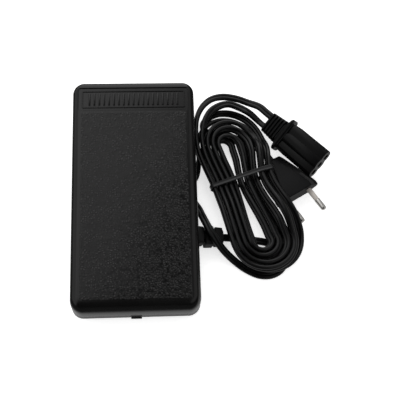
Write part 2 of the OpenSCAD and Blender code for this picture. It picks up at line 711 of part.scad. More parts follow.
module contact_fingers() {
    color(brass) {
        translate([-4, arm_y, carrier_z0 - 1.4]) cube([8, finger_t, arm_t + 1.4]);
        for (sx = [-1, 1]) translate([sx * 2.6, arm_y + finger_t / 2, carrier_z0 - 0.6])
            rotate([90, 0, 0]) cylinder(h = finger_t, d = 2, center = true);
    }
}
module wiper_spring() {
    color(steel) translate([0, carrier_y, floor_z + 0.05])
        spring(wiper_spring_d, 0.6, 9, carrier_top - carrier_roof - floor_z - 0.1);
}
module resistor_board() {
    color([0.75, 0.68, 0.5]) difference() {
        translate([-track_w / 2, track_y, floor_z + 0.1])
            cube([track_w, board_t, cover_z - floor_z - 0.6]);
        for (sx = [-1, 1]) translate([sx * (track_w / 2 - 2.5), track_y + board_t / 2, cover_z - 3])
            rotate([90, 0, 0]) cylinder(h = board_t + 1, d = 1.2, center = true);
    }
}

// ---- Electronics -------------------------------------------------------------------------
module circuit_board() {
    color([0.72, 0.6, 0.36]) difference() {
        translate([board_x0, board_y0, board_z]) cube([board_w, board_l, board_t]);
        for (p = board_holes) translate([p[0], p[1], board_z - 1])
            cylinder(h = board_t + 2, d = board_screw_d + 0.2);
    }
}
module board_screws() {
    color(steel) for (p = board_holes) translate([p[0], p[1], board_top])
        slotted_screw(board_screw_d, 4, 1.3, board_t + board_lift + 0.8);
}
sink_at = [board_x0 + 2, board_y0 + 0.56 * board_l];
sink_t = 1.2;
module heat_sink() {
    fin_pitch = 1.9;
    color([0.78, 0.78, 0.8]) translate([sink_at[0], sink_at[1], board_top]) {
        difference() {
            cube([sink_w, sink_l, sink_t]);
            translate([sink_w / 2, triac_l + 4, -1]) cylinder(h = 3, d = 3.2);
        }
        for (i = [0:3]) translate([0, 0.2 + i * fin_pitch, 0])
            cube([1, 1.2, sink_h]);
        cube([1, sink_l, sink_h]);
    }
}
module triac() {
    lead_pitch = 2.54;
    z = board_top + sink_t;
    color([0.15, 0.15, 0.16])
        translate([sink_at[0] + (sink_w - triac_w) / 2, sink_at[1] + 0.5, z]) {
            cube([triac_w, triac_l, triac_t]);
            difference() {
                translate([0, triac_l, 0]) cube([triac_w, 6, 1.3]);
                translate([triac_w / 2, triac_l + 3.5, -1]) cylinder(h = 3, d = 3.2);
            }
            for (i = [-1:1]) translate([triac_w / 2 - 0.4 + i * lead_pitch, -3, 0]) {
                translate([0, 0, 1.6]) cube([0.8, 3.1, 0.5]);
                translate([0, 0, -sink_t]) cube([0.8, 0.5, 3.3]);
            }
        }
}
module film_capacitor() {
    color([0.75, 0.32, 0.12]) translate([block_at[0] - film_l, board_y0 + 0.1 * board_l, board_top])
        cube([film_l, film_w, film_h]);
}
module timing_capacitor() {
    color([0.8, 0.7, 0.2]) translate([block_at[0] - timing_l - 3.8, board_y0 + 0.31 * board_l, board_top])
        cube([timing_l, timing_w, timing_h]);
}
choke_at = [board_x0 + board_w - 10.5, board_y0 + 0.605 * board_l];
choke_ri = choke_d / 2 - 3.4;
module choke_core() {
    color([0.3, 0.3, 0.28]) translate([choke_at[0], choke_at[1], board_top + 1])
        rotate_extrude() translate([choke_ri, 0]) square([choke_d / 2 - choke_ri, choke_h]);
}
module choke_winding() {
    gap = 0.15;
    wire = 0.8;
    radial = choke_d / 2 - choke_ri + 2 * gap;
    color([0.75, 0.4, 0.2]) translate([choke_at[0], choke_at[1], board_top + 1])
        for (a = [0:30:330]) rotate([0, 0, a]) difference() {
            translate([choke_ri - gap - wire, -wire / 2, -gap - wire])
                cube([radial + 2 * wire, wire, choke_h + 2 * (gap + wire)]);
            translate([choke_ri - gap, -wire, -gap]) cube([radial, 2 * wire, choke_h + 2 * gap]);
        }
}
module resistors() {
    wire = 0.7;
    reach = resistor_l / 2 + 1.4;
    color([0.75, 0.62, 0.42]) for (i = [0:2])
        translate([board_x0 + 3 + i * 4.2, board_y0 + 0.365 * board_l, board_top + 1.4]) {
            rotate([90, 0, 0]) cylinder(h = resistor_l, d = resistor_d, center = true);
            rotate([90, 0, 0]) cylinder(h = 2 * reach + 0.4, d = wire, center = true);
            for (sy = [-1, 1]) translate([0, sy * reach, -1.4]) cylinder(h = 1.6, d = wire);
        }
}
module trimmer() {
    high = 4;
    color([0.2, 0.35, 0.7]) translate([board_x0 + 17, board_y0 + 0.45 * board_l, board_top]) difference() {
        union() {
            translate([-trimmer_w / 2, -trimmer_w / 2, 0]) cube([trimmer_w, trimmer_w, high]);
            translate([0, 0, high - eps]) cylinder(h = 1, d = trimmer_w - 2.8);
        }
        translate([0, 0, high + 1]) cube([trimmer_w - 2.4, 0.7, 1.2], center = true);
    }
}
// Terminal block: its corner, then a point in the middle of a way at the board's top
block_at = [board_x0 + board_w - block_w - 4, board_y0 + 0.106 * board_l];
function block_way(i) = [block_at[0] + block_w / 2, block_at[1] + (i + 0.5) * block_pitch, board_top];
module terminal_block() {
    color([0.85, 0.86, 0.84]) difference() {
        translate([block_at[0], block_at[1], board_top]) cube([block_w, 2 * block_pitch, block_h]);
        for (i = [0, 1]) translate(block_way(i)) {
            translate([0, 0, 3]) cylinder(h = block_h, d = 3.6);
            translate([0, 0, 2.2]) rotate([0, 90, 0]) cylinder(h = block_w, d = 2.6);
        }
    }
}
module terminal_screws() {
    color(steel) for (i = [0, 1]) translate(block_way(i)) translate([0, 0, 6])
        slotted_screw(2.4, 3.4, 1.4, 2.2);
}
module cord_clamp() {
    z = boot_z + cord_t / 2 + 0.05;
    color(dark) difference() {
        translate([clamp_x - 3.5, boot_y - 10, z]) cube([7, 20, 3]);
        for (sy = [-1, 1]) translate([clamp_x, boot_y + sy * 7, z - 1])
            cylinder(h = 6, d = board_screw_d + 0.2);
    }
}
module clamp_screws() {
    z = boot_z + cord_t / 2 + 0.05 + 3;
    color(steel) for (sy = [-1, 1]) translate([clamp_x, boot_y + sy * 7, z])
        slotted_screw(board_screw_d, 4, 1.4, z - floor_z + 0.5);
}
// The flat cord inside the base, split into its two cores at the terminal block
module cord_tail() {
    x0 = clamp_x - 6;
    color(black) {
        translate([x0, boot_y - cord_w / 2, boot_z - cord_t / 2])
            cube([inner_x - 2.2 - x0, cord_w, cord_t]);
        for (i = [0, 1]) let (
            a = [x0 + 0.5, boot_y + (2 * i - 1) * cord_w / 4, boot_z],
            c = block_way(i) + [1, 0, 2.2],
            b = [board_x0 + board_w + 1.5, c[1], c[2]]
        ) tube(rings([with_roll(a, 0), with_roll(b, 0), with_roll(c, 0)],
            [for (k = [0:7]) 1.1 * [cos(45 * k), sin(45 * k)]]));
    }
}

// ---- Cords -------------------------------------------------------------------------------
module boot_slab(x, wide, high, t) {
    translate([x, 0, 0]) rotate([90, 0, 90]) linear_extrude(t)
        round_rect(wide, high, 2.2);
}
module cord_boot() {
    ribs = 3;
    pitch = boot_l / ribs;
    wide = boot_w;
    flange_z0 = floor_z + 0.1;
    flange_z1 = boot_z + boot_h / 2;
    color(black) {
        translate([boot_x, boot_y, boot_z]) rotate([0, boot_droop, 0]) {
            for (i = [0:ribs - 1]) {
                k = 1 - 0.1 * (i + 0.5);
                boot_slab(i * pitch + (i == 0 ? 0.9 : 0.6), wide * k, boot_h * k, pitch - 1.4);
            }
            boot_slab(0.7, boot_w * 0.62, boot_h * 0.6, boot_l - 0.7);
        }
        // Neck in the wall's slot, with a flange on each side
        translate([0, boot_y, boot_z]) {
            boot_slab(base_x + 0.05, boot_w, boot_h, 1.6);
            boot_slab(inner_x - 1, boot_w - 2 * boot_neck, boot_h - 2 * boot_neck, base_wall + 2);
        }
        translate([0, boot_y, (flange_z0 + flange_z1) / 2])
            boot_slab(inner_x - 2.2, boot_w, flange_z1 - flange_z0, 2.15);
    }
}
module lead_cord_from_pedal() {
    dir = [cos(boot_droop), 0, -sin(boot_droop)];
    color(black) tube(rings(lead_out, flat_oct(), dir, heading(lead_hank, 0)));
}
module lead_cord_hank() {
    echo(lead_gap = least(lead_hank, lead_hank, true), to_mains = least(lead_hank, mains_hank, false));
    color(black) tube(rings(lead_hank, flat_hex()));
}
module lead_cord_to_connector() {
    color(black) tube(rings(lead_back, flat_oct(), heading(lead_hank, len(lead_hank) - 1), conn_dir));
}
module mains_cord_to_plug() {
    color(black) tube(rings(mains_out, flat_oct(), -plug_dir, heading(mains_hank, 0)));
}
module mains_cord_hank() {
    echo(mains_gap = least(mains_hank, mains_hank, true));
    color(black) tube(rings(mains_hank, flat_hex()));
}
module mains_cord_to_connector() {
    color(black) tube(rings(mains_back, flat_oct(), heading(mains_hank, len(mains_hank) - 1), conn_dir));
}
// The tie goes round the hank at its waist, close over the turns that lie there
tie_s = 3.5;
tie_gap = 0.5;
function waist_points(s, from, to, first) = let (
    share = (s - run_low) / (run_high - run_low),
    stations = [4 * share, 16 - 4 * share]
) [for (turn = [0:4], p = stations) let (g = 24 * turn + p) if (g > from && g < to)
    let (low = floor(g), f = g - low) hank_point(low, first) * (1 - f) + hank_point(low + 1, first) * f];
// Across the hank's axis and up, from a point of a cord
function across_axis(q) = [
    (q[0] - hank_at[0]) * cos(hank_lean) + (q[1] - hank_at[1]) * sin(hank_lean), q[2]
];
module tie_ring(grow) {
    half = (cord_w - cord_t) / 2;
    hull() for (
        s = [tie_s - tie_w / 2, tie_s + tie_w / 2],
        q = concat(waist_points(s, 4, 100, lead_first), waist_points(s, 8, 100, mains_first)),
        j = [-1, 1],
        k = [-1, 1]
    )
        translate(across_axis(q) + half * [j * cos(q[3]), k * sin(q[3])])
            circle(cord_t / 2 + grow, $fn = 24);
}
module hank_tie() {
    q = to_plan(0, tie_s);
    color([0.1, 0.1, 0.1]) translate([q[0], q[1], 0]) rotate([0, 0, hank_lean])
        rotate([90, 0, 0]) translate([0, 0, -tie_w / 2]) linear_extrude(tie_w) difference() {
            tie_ring(tie_gap + tie_t);
            tie_ring(tie_gap);
        }
}

// ---- Connector ---------------------------------------------------------------------------
module at_connector() {
    translate(conn_at) rotate([0, 0, conn_turn]) rotate([0, -conn_pitch, 0])
        rotate([conn_roll, 0, 0]) children();
}
conn_wing = 3.5;
conn_l = conn_relief + conn_wing + conn_body;
module conn_section(x, wide, high, r, t) {
    translate([x, 0, 0]) rotate([90, 0, 90]) linear_extrude(t) round_rect(wide, high, r);
}
module connector_body() {
    ribs = 5;
    pitch = conn_relief / ribs;
    color(black) at_connector() difference() {
        union() {
            for (i = [0:ribs - 1])
                conn_section(i * pitch + 0.5, 16 + 0.5 * i, 9.6, 3, pitch - 0.9);
            conn_section(0, 14.2, 7, 2.6, conn_relief + 1);
            hull() {
                conn_section(conn_relief, 17, 9.6, 3, 0.5);
                conn_section(conn_relief + conn_wing - 1, 26, conn_t, 3, 1);
            }
            hull() {
                conn_section(conn_relief + conn_wing - eps, 26, conn_t, 3, 1);
                conn_section(conn_relief + conn_wing + 4, conn_w - 1.6, conn_t - 0.8, 3, 0.5);
            }
            // Three lobes, one round each hole
            for (k = [-1, 0, 1]) translate([conn_relief + conn_wing, k * socket_pitch, 0])
                rotate([0, 90, 0])
                    cylinder(h = conn_body, d = conn_t - (k == 0 ? 0.8 : 2.6));
            conn_section(conn_relief + conn_wing, conn_w, conn_t - 4.4, 3.4, conn_body);
        }
        for (k = [-1, 0, 1]) translate([conn_l - 12, k * socket_pitch, 0])
            rotate([0, 90, 0]) cylinder(h = 13, r = socket_r + 0.8);
    }
}
module connector_contacts() {
    color(brass) at_connector() for (k = [-1, 0, 1])
        translate([conn_l - 12, k * socket_pitch, 0]) rotate([0, 90, 0]) difference() {
            cylinder(h = 11, r = socket_r + 0.75);
            translate([0, 0, 1]) cylinder(h = 11, r = socket_r);
        }
}

// ---- Plug --------------------------------------------------------------------------------
module at_plug() {
    translate([plug_at[0], plug_at[1], 0]) rotate([0, 0, plug_turn]) children();
}
// A flattened hexagon with rounded ends, standing on its lower edge
module plug_face(x, wide, high, lift, t) {
    translate([x, 0, lift + high / 2]) rotate([90, 0, 90]) linear_extrude(t) hull() {
        for (s = [-1, 1]) translate([s * (wide / 2 - 2.6), 0]) circle(2.6, $fn = 24);
        square([wide - 14, high], center = true);
    }
}
module plug_body() {
    color(dark) at_plug() difference() {
        union() {
            hull() {
                plug_face(0, 16, plug_rear_t, 0, 1);
                plug_face(plug_l - 12, plug_w - 5, plug_t - 1.2, 0.1, 1);
            }
            hull() {
                plug_face(plug_l - 12, plug_w - 5, plug_t - 1.2, 0.1, 1);
                plug_face(plug_l - 3, plug_w, plug_t, 0, 3);
            }
        }
        for (s = [-1, 1]) plug_axis() translate([plug_l - 8, s * pin_pitch / 2, 0])
            rotate([0, 90, 0]) cylinder(h = 12, d = pin_d - 0.3);
    }
}
// From the rear's middle along the pins' own slope
module plug_axis() {
    translate([0, 0, plug_rear_t / 2]) rotate([0, -plug_tilt, 0]) children();
}
module plug_pins() {
    color(steel) at_plug() for (s = [-1, 1]) plug_axis()
        translate([plug_l - 8, s * pin_pitch / 2, 0]) rotate([0, 90, 0]) {
            cylinder(h = 8 + pin_l - 0.8, d = pin_d - 1);
            translate([0, 0, 8 + sleeve_l]) cylinder(h = pin_l - sleeve_l - 1, d = pin_d);
            translate([0, 0, 8 + pin_l - 1]) cylinder(h = 1, d1 = pin_d, d2 = pin_d - 1.6);
        }
}
module pin_sleeves() {
    color([0.45, 0.45, 0.46]) at_plug() for (s = [-1, 1]) plug_axis()
        translate([plug_l - 6, s * pin_pitch / 2, 0]) rotate([0, 90, 0]) difference() {
            cylinder(h = 6 + sleeve_l - 0.05, d = pin_d - 0.4);
            translate([0, 0, -1]) cylinder(h = 8 + sleeve_l, d = pin_d - 1 + 0.1);
        }
}

treadle();
base_tray();
rubber_feet();
hinge_rod();
inner_cover();
cover_screws();
stop_buffers();
treadle_springs();
wiper_carrier();
contact_fingers();
wiper_spring();
resistor_board();
circuit_board();
board_screws();
heat_sink();
triac();
film_capacitor();
timing_capacitor();
choke_core();
choke_winding();
resistors();
trimmer();
terminal_block();
terminal_screws();
cord_clamp();
clamp_screws();
cord_tail();
cord_boot();
lead_cord_from_pedal();
lead_cord_hank();
lead_cord_to_connector();
mains_cord_to_plug();
mains_cord_hank();
mains_cord_to_connector();
hank_tie();
connector_body();
connector_contacts();
plug_body();
plug_pins();
pin_sleeves();
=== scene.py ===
"""Foot control for a sewing machine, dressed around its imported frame.

X runs across the pedal, Y from heel to toe and Z up. Shapes are worked out in millimetres
and made in metres; the cords' routes are in metres throughout.
"""

import math

import bmesh
import bpy
import numpy as np
from bpy.props import FloatProperty, FloatVectorProperty, IntProperty, PointerProperty
from mathutils import Matrix, Vector


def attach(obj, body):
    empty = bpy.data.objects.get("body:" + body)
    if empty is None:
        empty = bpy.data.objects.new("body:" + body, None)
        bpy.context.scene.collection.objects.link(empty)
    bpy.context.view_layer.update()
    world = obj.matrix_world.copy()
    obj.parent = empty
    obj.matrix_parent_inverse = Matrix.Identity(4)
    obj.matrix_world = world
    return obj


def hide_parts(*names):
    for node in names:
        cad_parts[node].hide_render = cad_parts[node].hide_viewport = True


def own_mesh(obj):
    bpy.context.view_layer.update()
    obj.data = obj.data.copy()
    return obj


bl_info = {
    "name": "Sewing Machine Foot Control",
    "version": (1, 0, 0),
    "blender": (4, 5, 0),
    "location": "3D View > Sidebar > Foot Control",
    "description": "Builds the treadle, its cords, connector and plug around the packed frame",
    "category": "Object",
}

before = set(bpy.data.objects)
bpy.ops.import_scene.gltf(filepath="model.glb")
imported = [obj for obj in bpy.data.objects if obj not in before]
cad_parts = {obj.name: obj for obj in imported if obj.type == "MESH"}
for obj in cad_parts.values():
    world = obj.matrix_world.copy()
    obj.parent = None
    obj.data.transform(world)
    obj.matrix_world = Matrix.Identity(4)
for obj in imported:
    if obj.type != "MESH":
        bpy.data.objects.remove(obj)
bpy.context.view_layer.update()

MM = 0.001
BASE, TREADLE = "base", "treadle"

# Camera: lens and film width in millimetres, then its place and axes in metres
LENS, FILM_W, CLIP_NEAR, CLIP_FAR = 68.09, 36.0, 0.01, 10.0
CAMERA_AT = (0.01187, -0.21595, 0.48874)
CAMERA_RIGHT, CAMERA_UP = (0.99786, -0.04338, 0.04896), (0.01922, 0.9098, 0.4146)

# The room: its light on matt surfaces, and what reflections find in it
ROOM_FILL, ROOM_DARK, SOFT_BRIGHT = 0.7, 0.02, 1.25
SOFT_SIDE, SOFT_EDGE = (-1.6, 1.3, 0.0), (0.26, 0.6)
LEFT_EDGE, LEFT_SHARE = (-0.15, -0.6), 0.46
RIGHT_EDGE, RIGHT_GLOW, UPPER_EDGE = (0.08, 0.35), 0.4, (0.2, 0.5)

# The floor: half its side in metres, its glow, and the painted pool of light that reflections find
FLOOR_HALF, FLOOR_GLOW = 1.5, 0.62
POOL_EDGE, POOL_BRIGHT, POOL_DIM = (0.005, 0.02), 0.43, 0.05

# Lamps: name, place and size in metres, power in watts
LAMPS = (("key softbox", (-0.20, 0.72, 0.95), (0.7, 0.45), 4.2),
         ("left strip", (-0.9, 0.3, 0.75), (1.0, 0.16), 1.6))
LAMP_AIM = (0.03, 0.0, 0.02)

# Treadle, in millimetres
TREADLE_W, TREADLE_L = 84.0, 160.0
HEEL_H, TOE_H = 26.0, 41.0
SKIRT, WALL, HEEL_SOFT = 20.0, 2.4, 3.5
CORNER_R = 8.0
PANEL_L, PANEL_W, PANEL_DEEP, PANEL_Y = 76.0, 17.0, 0.8, 66.0
PANEL_CORNER, FRAME_INSET_X, FRAME_INSET_Y = 1.5, 2.5, 2.0
RIB_COUNT, RIB_INSET_X, RIB_INSET_Y, RIB_HALF_SHARE = 19, 6.0, 4.0, 0.21
STIFFENER_X, STIFFENER_Y = (-28, -14, 14, 28), (-40, -12, 8, 34)
STIFFENER_INSET_X, STIFFENER_INSET_Y, STIFFENER_HALF = 7.0, 20.0, 0.7
TILT = math.atan((TOE_H - HEEL_H) / TREADLE_L)
HINGE_Y, HINGE_Z, ROD_R, ROD_GAP = -66.0, 12.0, 2.0, 0.06
FULL_TILT, SEAT_ROOM = math.radians(6), 0.9
EAR_X, EAR_T, EAR_R = 33.0, 3.0, 4.5
SPRING_X, SPRING_Y, SPRING_D, SPRING_WIRE, SPRING_TURNS = 22.0, 59.0, 9.0, 0.9, 8
WIPER_Y, WIPER_SPRING_D, WIPER_WIRE, WIPER_TURNS = 20.0, 6.2, 0.6, 9
SEAT_DROP, BOSS_DROP, BOSS_R = 1.2, 2.2, 3.5
# The carrier's top lies this far below the boss and its roof is this thick. Its spring is
# pressed this far: the 9.11 mm that the carrier slides, and a little room
CARRIER_DROP, CARRIER_ROOF, CARRIER_PRESS = 0.3, 3.0, 9.2
TRAY_FLOOR, SPRING_GAP = 6.2, 0.05

# Where the treadle's grain lies and how soft its border is, in metres
GRAIN_X, GRAIN_Y, GRAIN_EDGE = (-0.0362, 0.0362), (-0.0742, 0.0562), 0.0006

# Board, choke, terminal block and cord tail in the tray, in millimetres
BOARD_X, BOARD_Y, BOARD_W, BOARD_L, BOARD_TOP = -34.0, -43.0, 42.0, 52.0, 10.8
CHOKE_X, CHOKE_Y = BOARD_X + BOARD_W - 10.5, BOARD_Y + 0.605 * BOARD_L
CHOKE_OUTER, CHOKE_INNER, CHOKE_LOW, CHOKE_HIGH = 7.2, 3.8, BOARD_TOP + 1, BOARD_TOP + 6
CHOKE_TURNS, CHOKE_WIRE_R, CHOKE_STAND = 12, 0.4, 0.55
BLOCK_X, BLOCK_Y, BLOCK_PITCH = BOARD_X + BOARD_W - 14, BOARD_Y + 0.106 * BOARD_L, 7.0
SHEATH_END, CORE_R, CORE_OFF = 18.0, 1.1, 1.35
CORE_IN, CORE_UP = 6.0, 2.2

# Cord boot, in millimetres
BOOT_AT, BOOT_DROOP = (39.1, -25.0, 9.2), math.radians(11.5)
BOOT_W, BOOT_H, BOOT_L = 12.0, 10.4, 21.0
TRAY_INSIDE, TRAY_OUTSIDE = 36.6, 38.8
# Each lump's width and height, as shares of the boot's
LUMPS = ((1.08, 0.95), (1.2, 0.96), (1.08, 0.86))
NOTCH_SIDE, NOTCH_ROOM = 1.5, 1.4

# Connector and plug, in millimetres
CONN_AT = (97.4, 62.0, 12.4)
CONN_TURN, CONN_PITCH, CONN_ROLL = math.radians(-50), math.radians(7), math.radians(32)
CONN_RELIEF, CONN_WING, CONN_BODY = 13.0, 3.5, 34.5
CONN_L = CONN_RELIEF + CONN_WING + CONN_BODY
CONN_W, CONN_T, CONN_BAR_T, CONN_CORNER, CONN_INLET = 23.0, 12.0, 6.2, 3.0, 4.3
CORE_W, CORE_T, RING_COUNT, RING_W, RING_T = 14.2, 7.0, 5, 16.0, 9.6
# Sections of the flange: how far past the relief, width and height
CONN_FLANGE = ((0.05, 16.2, 9.2), (0.5, 17, 9.6), (1.6, 20, 10.6), (2.4, 25.2, 11.8),
               (2.8, 26, 12), (3.9, 26, 12), (4.2, 25.4, 11.8), (4.6, 22, 11.4), (5.6, 20.8, 11.3))
SOCKET_PITCH, SOCKET_R, SOCKET_WALL, SOCKET_DEEP = 6.8, 1.25, 0.8, 12.0
PLUG_AT, PLUG_TURN = (98.3, 33.7), math.radians(-60)
PLUG_W, PLUG_T, PLUG_L, PLUG_REAR_W, PLUG_REAR_T = 35.0, 13.0, 33.0, 16.0, 8.0
PLUG_END_R, PLUG_SLOPE, PLUG_TAPER_L, PLUG_TAPER_STEPS = 2.6, 7.0, 21.0, 8
PLUG_TILT = math.atan((PLUG_T - PLUG_REAR_T) / 2 / PLUG_L)
PIN_D, PIN_L, SLEEVE_L, PIN_PITCH = 4.0, 19.0, 10.0, 18.6
SLEEVE_R, SLEEVE_BORE_R, PIN_BORE_R = 1.8, 1.55, 1.85

# Flat cord and its hank, in metres
CORD_W, CORD_T = 0.0054, 0.0032
HANK_AT, HANK_LEAN = (0.0834, 0.0145), math.radians(16)
RUN_LOW, RUN_HIGH, TOP_STRETCH = -0.043, 0.0315, 1.15
LOOP_X, LOOP_R = -0.00965, 0.00515
TURN_GAP, RIGHT_ROLL = 0.00065, math.radians(35)
EDGE_STEP = CORD_T + TURN_GAP
FLAT_STEP = EDGE_STEP + (CORD_W - CORD_T) * math.cos(RIGHT_ROLL)
STEP_MEAN, STEP_SWING = (FLAT_STEP + EDGE_STEP) / 2, (FLAT_STEP - EDGE_STEP) / 2
WAIST_ABOVE, WAIST_BELOW = 0.030, 0.043
WAIST_ROLL, WAIST_LEFT, WAIST_RIGHT = 0.32, 0.0016, 0.0036
HANK_LIFT, PLUG_RISE, LEAD_RISE = 0.0039, 0.011, 0.0026
# Stations of a turn: the left run's end, the top's, the right run's and the whole turn's
LEFT_END, TOP_END, RIGHT_END, STATIONS = 4, 12, 16, 24
LEAD_FIRST, LEAD_START, MAINS_FIRST, MAINS_START, HANK_END = 4, 4, 5, 8, 100
TIE_S, TIE_W, TIE_T, TIE_GAP = 0.0035, 0.0032, 0.0008, 0.0005

# Free stretches of cord: x, y, z in metres and the flat's roll in degrees
LEAD_OUT = [
    (0.0655, -0.025, 0.0037, 0), (0.073, -0.0255, 0.0022, 0), (0.082, -0.0265, 0.0018, 0),
    (0.091, -0.0285, 0.0018, 0), (0.099, -0.033, 0.0018, 0), (0.102, -0.04, 0.0018, 0),
    (0.099, -0.0474, 0.0018, 0), (0.0925, -0.0516, 0.0018, 0), (0.084, -0.0518, 0.0018, 0),
    (0.0754, -0.0478, 0.0018, 0), (0.0674, -0.0418, 0.0028, 0), (0.0594, -0.0354, 0.008, 0),
    (0.053, -0.0282, 0.0142, 0), (0.0488, -0.02, 0.0148, 0), (0.0459, -0.011, 0.0104, 0),
    (0.0439, -0.0022, 0.0036, 0), (0.0404, 0.0044, 0.0018, 0), (0.0378, 0.0108, 0.0018, 0),
    (0.0392, 0.0176, 0.0018, 0), (0.043, 0.0236, 0.0024, 20), (0.045, 0.031, 0.0044, 60),
]
LEAD_BACK = [
    (0.0442, 0.047, 0.0126, 88), (0.0442, 0.057, 0.0126, 86), (0.0456, 0.067, 0.0124, 68),
    (0.0498, 0.0758, 0.0122, 40), (0.0565, 0.082, 0.012, 15), (0.065, 0.084, 0.012, 0),
    (0.0746, 0.0826, 0.0118, 0), (0.084, 0.079, 0.0114, 0), (0.0914, 0.0748, 0.0128, -12),
]
MAINS_BACK = [
    (0.0481, 0.048, 0.0126, 88), (0.0488, 0.056, 0.0126, 84), (0.0516, 0.065, 0.0126, 62),
    (0.0574, 0.073, 0.0126, 30), (0.068, 0.0773, 0.0128, 0), (0.077, 0.0742, 0.0126, 0),
    (0.0842, 0.0694, 0.0124, -12),
]
MAINS_OUT = [
    (0.09, 0.0454, 0.002, 0), (0.081, 0.0506, 0.0018, 0), (0.07, 0.053, 0.0018, 0),
    (0.0595, 0.056, 0.0018, 0), (0.052, 0.0604, 0.0018, 0), (0.0504, 0.0658, 0.0024, 15),
    (0.0546, 0.0704, 0.005, 45),
]


# ---- What a user may change ----------------------------------------------------------------
class FootControlSizes(bpy.types.PropertyGroup):
    """Sizes of the dressed pieces"""

    edge_radius: FloatProperty(
        name="Treadle Edge Radius", description="Rounding of the treadle's upper edge",
        default=0.005, min=0.002, max=0.006, unit="LENGTH", precision=4)
    grain_size: FloatProperty(
        name="Grain Size", description="Size of a pebble of the treadle's grain",
        default=0.0015, min=0.0005, max=0.004, unit="LENGTH", precision=4)
    grain_depth: FloatProperty(
        name="Grain Depth", description="Depth of the treadle's grain",
        default=0.00009, min=0.0, max=0.0006, unit="LENGTH", precision=5)
    cord_ring_step: FloatProperty(
        name="Cord Ring Step", description="Distance between rings of the cords' mesh",
        default=0.0015, min=0.0008, max=0.004, unit="LENGTH", precision=4)
    strap_width: FloatProperty(
        name="Strap Width", description="Width of the strap round the hank",
        default=TIE_W, min=0.002, max=0.004, unit="LENGTH", precision=4)
    spring_sides: IntProperty(
        name="Spring Sides", description="Sides of the springs' wire", default=10, min=6, max=20)


class FootControlColours(bpy.types.PropertyGroup):
    """Colours of the dressed pieces"""

    treadle: FloatVectorProperty(
        name="Treadle", description="Moulded top of the pedal", subtype="COLOR", size=3,
        min=0, max=1, default=(0.0033, 0.0032, 0.0032))
    # Colour of the pebbles' tops; the grain's creases are painted near black against it as shade
    pebble: FloatVectorProperty(
        name="Pebble Tops", description="Worn tops of the grain's pebbles", subtype="COLOR",
        size=3, min=0, max=1, default=(0.0185, 0.0178, 0.0176))
    cord: FloatVectorProperty(
        name="Cord", description="Glossy sheath of both cords", subtype="COLOR", size=3,
        min=0, max=1, default=(0.0022, 0.0022, 0.0023))
    plug: FloatVectorProperty(
        name="Plug", description="Moulded body of the plug", subtype="COLOR", size=3,
        min=0, max=1, default=(0.0026, 0.0026, 0.0029))
    connector: FloatVectorProperty(
        name="Connector", description="Moulded body of the connector", subtype="COLOR", size=3,
        min=0, max=1, default=(0.0016, 0.0016, 0.0017))
    sleeve: FloatVectorProperty(
        name="Pin Sleeves", description="Insulating sleeves on the pins", subtype="COLOR", size=3,
        min=0, max=1, default=(0.42, 0.39, 0.36))
    backdrop: FloatVectorProperty(
        name="Backdrop", description="Floor below the pedal", subtype="COLOR", size=3,
        min=0, max=1, default=(0.9, 0.9, 0.9))


def sizes():
    return bpy.context.scene.foot_control_sizes


def colours():
    return bpy.context.scene.foot_control_colours


# ---- Meshes --------------------------------------------------------------------------------
def smooth(v):
    v = min(1.0, max(0.0, v))
    return v * v * (3 - 2 * v)


def new_piece(name, verts, faces, scale=MM, sharp=35):
    """A mesh object from points and faces, smooth but for edges sharper than sharp degrees."""
    mesh = bpy.data.meshes.new(name)
    mesh.from_pydata([tuple(c * scale for c in v) for v in verts], [], faces)
    mesh.validate()
    piece = bpy.data.objects.new(name, mesh)
    bpy.context.scene.collection.objects.link(piece)
    tidy_normals(piece, sharp)
    return piece


def tidy_normals(piece, sharp=35):
    bm = bmesh.new()
    bm.from_mesh(piece.data)
    bmesh.ops.remove_doubles(bm, verts=bm.verts, dist=1e-7)
    bmesh.ops.recalc_face_normals(bm, faces=bm.faces)
    bm.to_mesh(piece.data)
    bm.free()
    piece.data.shade_smooth()
    piece.data.set_sharp_from_angle(angle=math.radians(sharp))


def loft(loops, closed=False):
    """Points and faces that join a row of equal loops, capped at both ends or closed on itself."""
    n = len(loops[0])
    verts = [p for loop in loops for p in loop]
    faces = []
    last = len(loops) if closed else len(loops) - 1
    for i in range(last):
        a, b = i * n, ((i + 1) % len(loops)) * n
        faces += [(a + k, a + (k + 1) % n, b + (k + 1) % n, b + k) for k in range(n)]
    if not closed:
        faces.append(tuple(reversed(range(n))))
        faces.append(tuple(range((len(loops) - 1) * n, len(loops) * n)))
    return verts, faces


def rounded_rect(half_x, half_y, r, n=8):
    """Points round a rectangle with rounded corners, n steps to a corner."""
    r = max(0.02, min(r, half_x, half_y))
    points = []
    for cx, cy, start in ((1, 1, 0), (-1, 1, 90), (-1, -1, 180), (1, -1, 270)):
        for k in range(n + 1):
            a = math.radians(start + 90 * k / n)
            points.append((cx * (half_x - r) + r * math.cos(a),
                           cy * (half_y - r) + r * math.sin(a)))
    return points


def angles_round(n):
    return [2 * math.pi * k / n for k in range(n)]


def lathe(profile):
    """Loops of a turned form along X from (x, radius) steps."""
    return [[(x, max(r, 0.01) * math.cos(a), max(r, 0.01) * math.sin(a)) for a in angles_round(32)]
            for x, r in profile]


def bars(rows, n):
    """Rounded rectangles across X, from rows of x, width, height and corner radius."""
    return [[(x, y, z) for y, z in rounded_rect(wide / 2, high / 2, r, n)]
            for x, wide, high, r in rows]


def stacked(half_x, half_y, r, rows, n=8, x0=0.0):
    """Rounded rectangles above each other, from rows of z and how far each is drawn in."""
    return [[(x + x0, y, z) for x, y in rounded_rect(half_x - i, half_y - i, r - i, n)]
            for z, i in rows]


def placed(loops, matrix):
    return [[tuple(matrix @ Vector(p)) for p in loop] for loop in loops]


